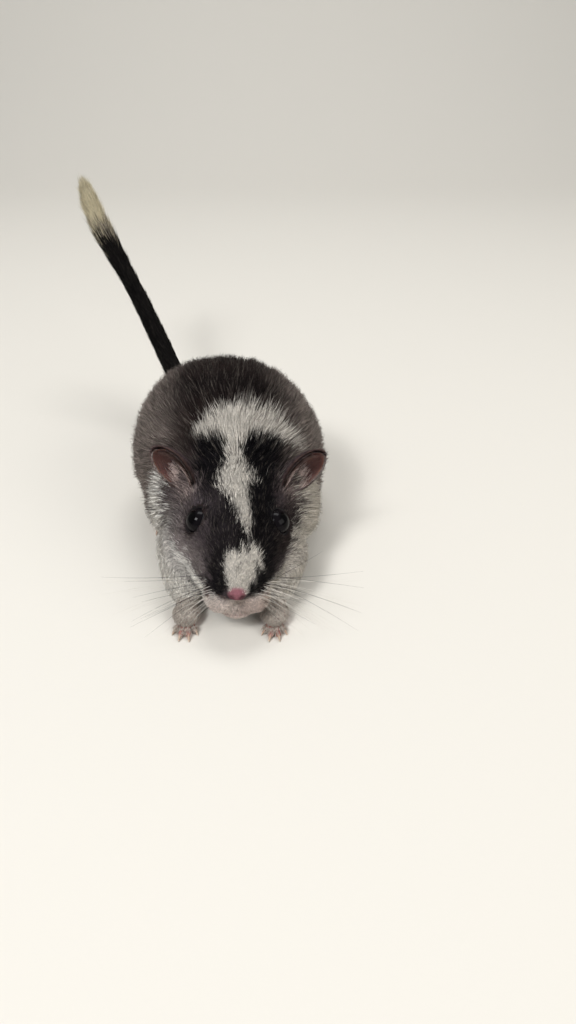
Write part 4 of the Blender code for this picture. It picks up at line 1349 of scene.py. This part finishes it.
# the turn of each digit in degrees, its length, how far back it starts, its half thickness and its claw
FINGERS = {
    "spread": (-33, -11, 12, 34), "lengths": (3.9, 4.7, 4.6, 3.8), "setback": (0.6, 0.0, 0.0, 0.6),
    "thickness": 0.78, "claw": 1.9,
}
WRIST_LINE = ((0.1, 4.4, 3.2), (0.0, 1.6, 1.5), (0.0, -1.0, 0.2))
WRIST_RADII = (2.7, 2.5, 2.0)
FOOT_LINE = ((16.4, 77.0, 1.6), (16.8, 68.0, 1.55), (17.8, 59.0, 1.8), (18.4, 52.5, 1.9))
FOOT_RADII = (2.3, 2.2, 2.6, 2.9)
TOES = {
    "spread": (-34, -13, 0, 13, 30), "lengths": (4.0, 8.0, 8.8, 8.2, 4.6),
    "setback": (4.2, 0.6, 0.0, 0.5, 3.2), "thickness": 0.88, "claw": 2.4,
}
# shares of a claw's length past its digit's end, and of the digit's thickness above the ground
CLAW_LINE = ((-0.3, 1.05), (0.35, 1.0), (0.75, 0.6), (1.0, 0.16))
CLAW_RADII = ((0, 0.3, 0.75, 1), (0.38, 0.36, 0.19, 0.04))  # along a claw
PAW_VOXEL = 0.17
# shares of a digit's length, its height and half thickness: root, knuckle, hollow, end joint, pad
DIGIT = (
    (0.0, 1.45, 1.1), (0.32, 1.75, 0.98), (0.55, 1.55, 0.82), (0.78, 1.15, 0.94), (1.0, 0.95, 0.86),
)


def digit_lines(root, heading, digits, side):
    """For each finger or toe, its line and half thickness, and the line of its claw."""
    made = []
    for angle, length, back in zip(digits["spread"], digits["lengths"], digits["setback"]):
        turn = heading + math.radians(side * angle)
        ahead = np.array((math.sin(turn), -math.cos(turn), 0.0))
        start = np.array((root[0], root[1] + back, 0.0))
        rows = np.array(DIGIT)
        line = start + ahead * (length * rows[:, :1]) + (0, 0, 1) * (digits["thickness"] * rows[:, 1:2])
        bone = curve(np.column_stack([line, digits["thickness"] * rows[:, 2]]), np.linspace(0, 4, 21))
        past, height = np.array(CLAW_LINE).T[:, :, None]
        nail = start + ahead * (length + past * digits["claw"]) + (0, 0, 1) * (height * digits["thickness"])
        made.append((bone, curve(nail, np.linspace(0, 3, 12))))
    return made


def slanted(points):
    """Turns points of the hind legs with the rump."""
    pivot = np.array((BELLY_MIDDLE, BELLY_PIVOT, 0.0))
    c, s = math.cos(BELLY_TURN), math.sin(BELLY_TURN)
    turn = np.array(((c, -s, 0), (s, c, 0), (0, 0, 1)))
    return (np.asarray(points) - pivot) @ turn.T + pivot


def make_paw(node, core, digits, place, furry):
    """A paw: its core and digits are fused and eased, and each claw is a curved, pointed tube of its own.

    `furry` gives where along the body its hair starts and where it is full.
    """
    name = f"{node}_skin"
    parts = [core]
    claws = []
    for bone, nail in digits:
        parts.append(tube("digit", place(bone[:, :3]), bone[:, 3], sides=14))
        line = place(nail)
        radii = np.interp(np.linspace(0, 1, len(line)), *CLAW_RADII)
        claws.append(tube("claw", line, radii, sides=10, flat=1.25, round_rows=3))
    mesh = with_modifier(joined(name, parts), "REMESH", mode="VOXEL", voxel_size=PAW_VOXEL * MM)
    mesh = with_modifier(mesh, "SMOOTH", factor=0.5, iterations=5)
    points = read(mesh)
    points[:, 2] = np.maximum(points[:, 2], 0.0)
    place_points(mesh, points)
    normals = read(mesh, "vertex_normals", "vector")
    # painted shade: the paw's underside, turned from the light, is darkened; then random patches of own
    # mottling
    under = step(-normals[:, 2], 0.0, 0.7)
    colours = mixed(np.tile(COLOURS["paw"], (len(points), 1)), 0.35 * under, "paw_mottle_and_shade")
    colours = mixed(colours, 0.35 * step(soft_noise(points, 2.2, 6), 0, 1), "paw_mottle_and_shade")
    colour_layer(mesh, colours)
    piece(mesh, name, PAW_SKIN, "paw_skin", node)
    horn = joined(f"{name}_claws", claws)
    at = read(horn)
    raised = step(np.abs(at[:, 2]), 0.0, 1.0)
    colour_layer(horn, blend(COLOURS["horn"], COLOURS["horn_root"], 0.5 * raised[:, None]))
    piece(horn, f"{name}_claws", HORN, "paw_skin")
    paw_hair(mesh, points, normals, name, furry)


def paw_hair(mesh, points, normals, name, furry):
    """Short pale hair on the upper side of a paw, thinning towards the claws and lying along the digits."""
    rng = np.random.default_rng(len(name))
    triangles = with_modifier(mesh.copy(), "TRIANGULATE")
    density = 42.0 * step(normals[:, 2], -0.3, 0.4) * step((points - DRAWING)[:, 1], *furry)
    corners, corner_share = scattered(triangles, density, rng)
    roots = carried(points, corners, corner_share)
    out = unit(carried(normals, corners, corner_share))
    bpy.data.meshes.remove(triangles)
    count = len(roots)
    way = along_surface(np.array((0.0, -1.0, -0.15)) + rng.normal(0, 0.18, (count, 3)), out)
    length = rng.uniform(0.9, 1.9, count) * (0.55 + 0.45 * step((roots - DRAWING)[:, 1], *furry))
    middles = roots + (0.45 * way + 0.16 * out) * length[:, None]
    tips = roots + (way + 0.2 * out) * length[:, None]
    tips[:, 2] = np.maximum(tips[:, 2], 0.1)
    tufts = spindles(roots - 0.1 * out, middles, tips, out, np.full(count, 0.065))
    tone = COLOURS["white"] * rng.uniform(0.7, 1.05, (count, 1)) * (1.0, 0.95, 0.93)
    colours = np.stack([tone * 0.7, tone, tone], axis=1)
    coat_piece(f"{name}_hair", tufts, colours, roots[:, :2], PAW_HAIR, "coat_white")


def palm_core(side):
    """The palm as a ball with the wrist as a tube over it, and where the fingers start."""
    (x, y, z), radii = PALM
    centre = np.array((CHEST_MIDDLE + side * x, y, z))
    wrist = tube("wrist", from_drawing(centre + WRIST_LINE), np.array(WRIST_RADII))
    palm = ball("palm", from_drawing(centre), radii)
    return joined("palm", [palm, wrist]), (centre[0], y - 0.35 * radii[1])


def foot_core(side):
    """The long hind foot as a flat tube, where its toes start, and its heading."""
    line = np.array(FOOT_LINE)
    line[:, 0] = BELLY_MIDDLE + side * line[:, 0]
    ahead = line[-1] - line[-2]
    rows = curve(np.column_stack([line, FOOT_RADII]), np.linspace(0, 3, 31))
    core = tube("foot", from_drawing(slanted(rows[:, :3])), rows[:, 3], sides=24, flat=0.78)
    return core, line[-1], math.atan2(ahead[0], -ahead[1])


def make_paws():
    for word, side in SIDES.items():
        core, root = palm_core(side)
        digits = digit_lines(root, 0.0, FINGERS, side)
        make_paw(f"forepaw_{word}", core, digits, from_drawing, (0.0, 5.5))
        core, root, heading = foot_core(side)
        digits = digit_lines(root, heading, TOES, side)
        make_paw(f"hind_foot_{word}", core, digits, lambda p: from_drawing(slanted(p)), (43.0, 49.0))


# ---------------- whiskers


WHISKER_ROOM = 8.0  # how far a whisker may reach past the widest part of the body on the left
# single long whiskers of the left side: root and way in the head's frame, length and half thickness
LONG_WHISKERS = (
    ((7.4, 6.2, -2.6), (1.0, -0.12, -0.02), 25.5, 0.07),
    ((8.0, 7.0, -3.0), (1.0, 0.3, 0.2), 15.0, 0.06),
)


def whisker_pads(rng):
    """Each whisker's root and way in the head's frame, its length and half thickness.

    Each side has five rows on its pad, longer and turned further back to the rear, and two over the eye.
    """
    for side in SIDES.values():
        for row in range(5):
            for column in range(6 - (row > 3)):
                across = side * (4.4 + 0.75 * column + 0.2 * row)
                root = (across, 2.4 + 0.95 * column, -1.5 - 0.95 * row + 0.1 * column)
                way = (side, -0.34 + 0.06 * column - 0.05 * row, 0.02 - 0.16 * row)
                yield root, way, 8 + 3.3 * column + rng.uniform(-2, 2), 0.055
        yield (side * 6.4, 19.5, 10.0), (side * 0.75, 0.7, 0.4), 7.5, 0.026
        yield (side * 7.4, 21.5, 10.0), (side * 0.9, 0.6, 0.2), 6.0, 0.022
    yield from LONG_WHISKERS


def make_whiskers(skin):
    """Whiskers as tapered tubes whose lines bend by the square of the distance and stay over the floor."""
    rng = np.random.default_rng(3)
    roots, ways, lengths, thick = (np.array(column) for column in zip(*whisker_pads(rng)))
    count, rows, sides = len(roots), 13, 5
    roots, _ = nearest_on(skin, from_head(roots))
    ways = unit(ways + rng.normal(0, 0.1, (count, 3))) @ HEAD_TURN.T
    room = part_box("torso")[1][0] / MM + WHISKER_ROOM - roots[:, 0]
    lengths = np.where(ways[:, 0] > 0, np.minimum(lengths, room / np.maximum(ways[:, 0], 0.1)), lengths)
    bend = [np.zeros(count), rng.uniform(-0.1, 0.25, count), rng.uniform(-0.5, 0.15, count)]
    bend = np.stack(bend, axis=-1)
    at = np.linspace(0, 1, rows)
    line = roots[:, None] + ways[:, None] * (lengths[:, None] * at)[:, :, None]
    line = line + bend[:, None] * (lengths[:, None] * at**2 * 0.4)[:, :, None]
    fall = roots[:, 2] - line[:, :, 2].min(axis=1)
    gentle = np.minimum(1, (roots[:, 2] - 0.9) / np.maximum(fall, 0.1))
    line[:, :, 2] = roots[:, None, 2] + (line[:, :, 2] - roots[:, None, 2]) * gentle[:, None]
    along = unit(np.gradient(line, axis=1))
    across = unit(np.cross(along, (0.0, 0.0, 1.0)))
    up = np.cross(across, along)
    radius = (thick[:, None] * (1 - 0.82 * at))[:, :, None, None]
    rings = line[:, :, None] + radius * ways_round(round_angles(sides), across[:, :, None], up[:, :, None])
    starts, ends = roots[:, None] - 0.4 * ways[:, None], line[:, -1:] + 0.2 * along[:, -1:]
    points = np.concatenate([rings.reshape(count, -1, 3), starts, ends], axis=1)
    _, groups = shell(rings[0], roots[0], line[0, -1])
    size = rows * sides + 2
    everywhere = [(np.arange(count)[:, None, None] * size + g).reshape(-1, g.shape[1]) for g in groups]
    mesh = outward_mesh("whiskers", points.reshape(-1, 3), everywhere)
    pale = (rng.uniform(0, 1, count) < 0.6) & (thick > 0.03)
    tone = np.where(pale[:, None], COLOURS["white"], COLOURS["crown"])
    colour_layer(mesh, np.repeat(tone, size, axis=0))
    piece(mesh, "whiskers", whisker_finish(), "coat_white")


# ---------------- stage


SWEEP_RADIUS = 0.4  # metres
# each light's place, the point it is turned to, its width and height, all in metres, its power and colour
LIGHTS = (
    ("key", (-0.28, -0.42, 0.62), (0, 0, 0.02), (0.24, 0.24), 3.4),
    ("catch", (-0.27, -0.41, 0.60), (0, -0.06, 0.02), (0.06, 0.06), 0.5),
    ("fill", (0.5, -0.35, 0.35), (0, 0, 0.02), (0.5, 0.4), 1.75, (1.0, 0.98, 0.95)),
    ("top", (0.05, 0.25, 0.75), (0, 0.02, 0.02), (0.4, 0.3), 2.4),
)
CAMERA_PLACE = (12.1, -121.3, 126.6)  # in the body's drawing frame
CAMERA_TILT = 54  # degrees up from straight down
LENS_MM = 25.3125


def soft_light(name, place, aim, size, power, colour=(1.0, 1.0, 1.0)):
    data = bpy.data.lights.new(name, "AREA")
    data.shape = "RECTANGLE"
    data.size, data.size_y = size
    data.energy = power
    data.color = colour
    lamp = object_of(data)
    lamp.location = place
    lamp.rotation_euler = (Vector(aim) - Vector(place)).to_track_quat("-Z", "Y").to_euler()


def backdrop():
    """A sheet of paper that lies level and rises behind the animal through a quarter of a circle."""
    turn = np.linspace(0, math.pi / 2, 25)
    rise = (0.4, 0.0) + SWEEP_RADIUS * np.stack([np.sin(turn), 1 - np.cos(turn)], axis=-1)
    back, up = np.vstack([(-1.2, 0.0), rise, (0.8, 1.4)]).T
    across = np.tile(np.linspace(-1.6, 1.6, 3), len(back))
    points = np.stack([across, np.repeat(back, 3), np.repeat(up, 3)], axis=-1) / MM
    mesh = mesh_of("studio_sweep", points, [grid_faces(np.arange(len(points)).reshape(-1, 3))])
    paper = Finish("matt_backdrop_paper")
    place = paper.add("ShaderNodeTexCoord")
    grain = paper.add("ShaderNodeTexNoise", [(place.outputs["Object"], "Vector")], Scale=900.0, Detail=2.0)
    paper.set(Base_Color=(*hex_colour("dbd7cf"), 1), Roughness=0.9)
    relief(paper, grain.outputs["Fac"], 0.02)
    mesh.materials.append(paper.material)
    floor = object_of(mesh)
    mesh.shade_smooth()


def make_stage():
    """The backdrop, soft lights, the air's own light and the camera."""
    backdrop()
    for name, *settings in LIGHTS:
        soft_light(name, *settings)
    world = bpy.data.worlds.new("studio")
    world.use_nodes = True
    air = world.node_tree.nodes["Background"].inputs
    air["Color"].default_value = (*hex_colour("dfe2e4"), 1)
    air["Strength"].default_value = 0.40
    bpy.context.scene.world = world

    data = bpy.data.cameras.new("camera")
    data.lens, data.sensor_width = LENS_MM, 36
    data.clip_start = 0.005
    camera = object_of(data)
    camera.location = from_drawing(CAMERA_PLACE) * MM
    camera.rotation_euler = (math.radians(CAMERA_TILT), 0, 0)
    bpy.context.scene.camera = camera
    bpy.context.scene.view_settings.view_transform = "Standard"


# ---------------- the animal

PAW_SKIN = bare_skin_finish("paw_skin_bare", 0.4, 0.05, 0.5)
PAW_HAIR = fur_finish("paw_fur")
HORN = horn_finish()

make_stage()
skin_mesh, skin_share = make_skin()
colour_layer(skin_mesh, skin_colours(read(skin_mesh), skin_share))
make_coat(skin_mesh, skin_share)
piece(skin_mesh, "skin", skin_finish(), "coat_dark", *FLESH, *TAIL_NODES)
make_eyes()
make_ears()
make_paws()
make_whiskers(skin_mesh)
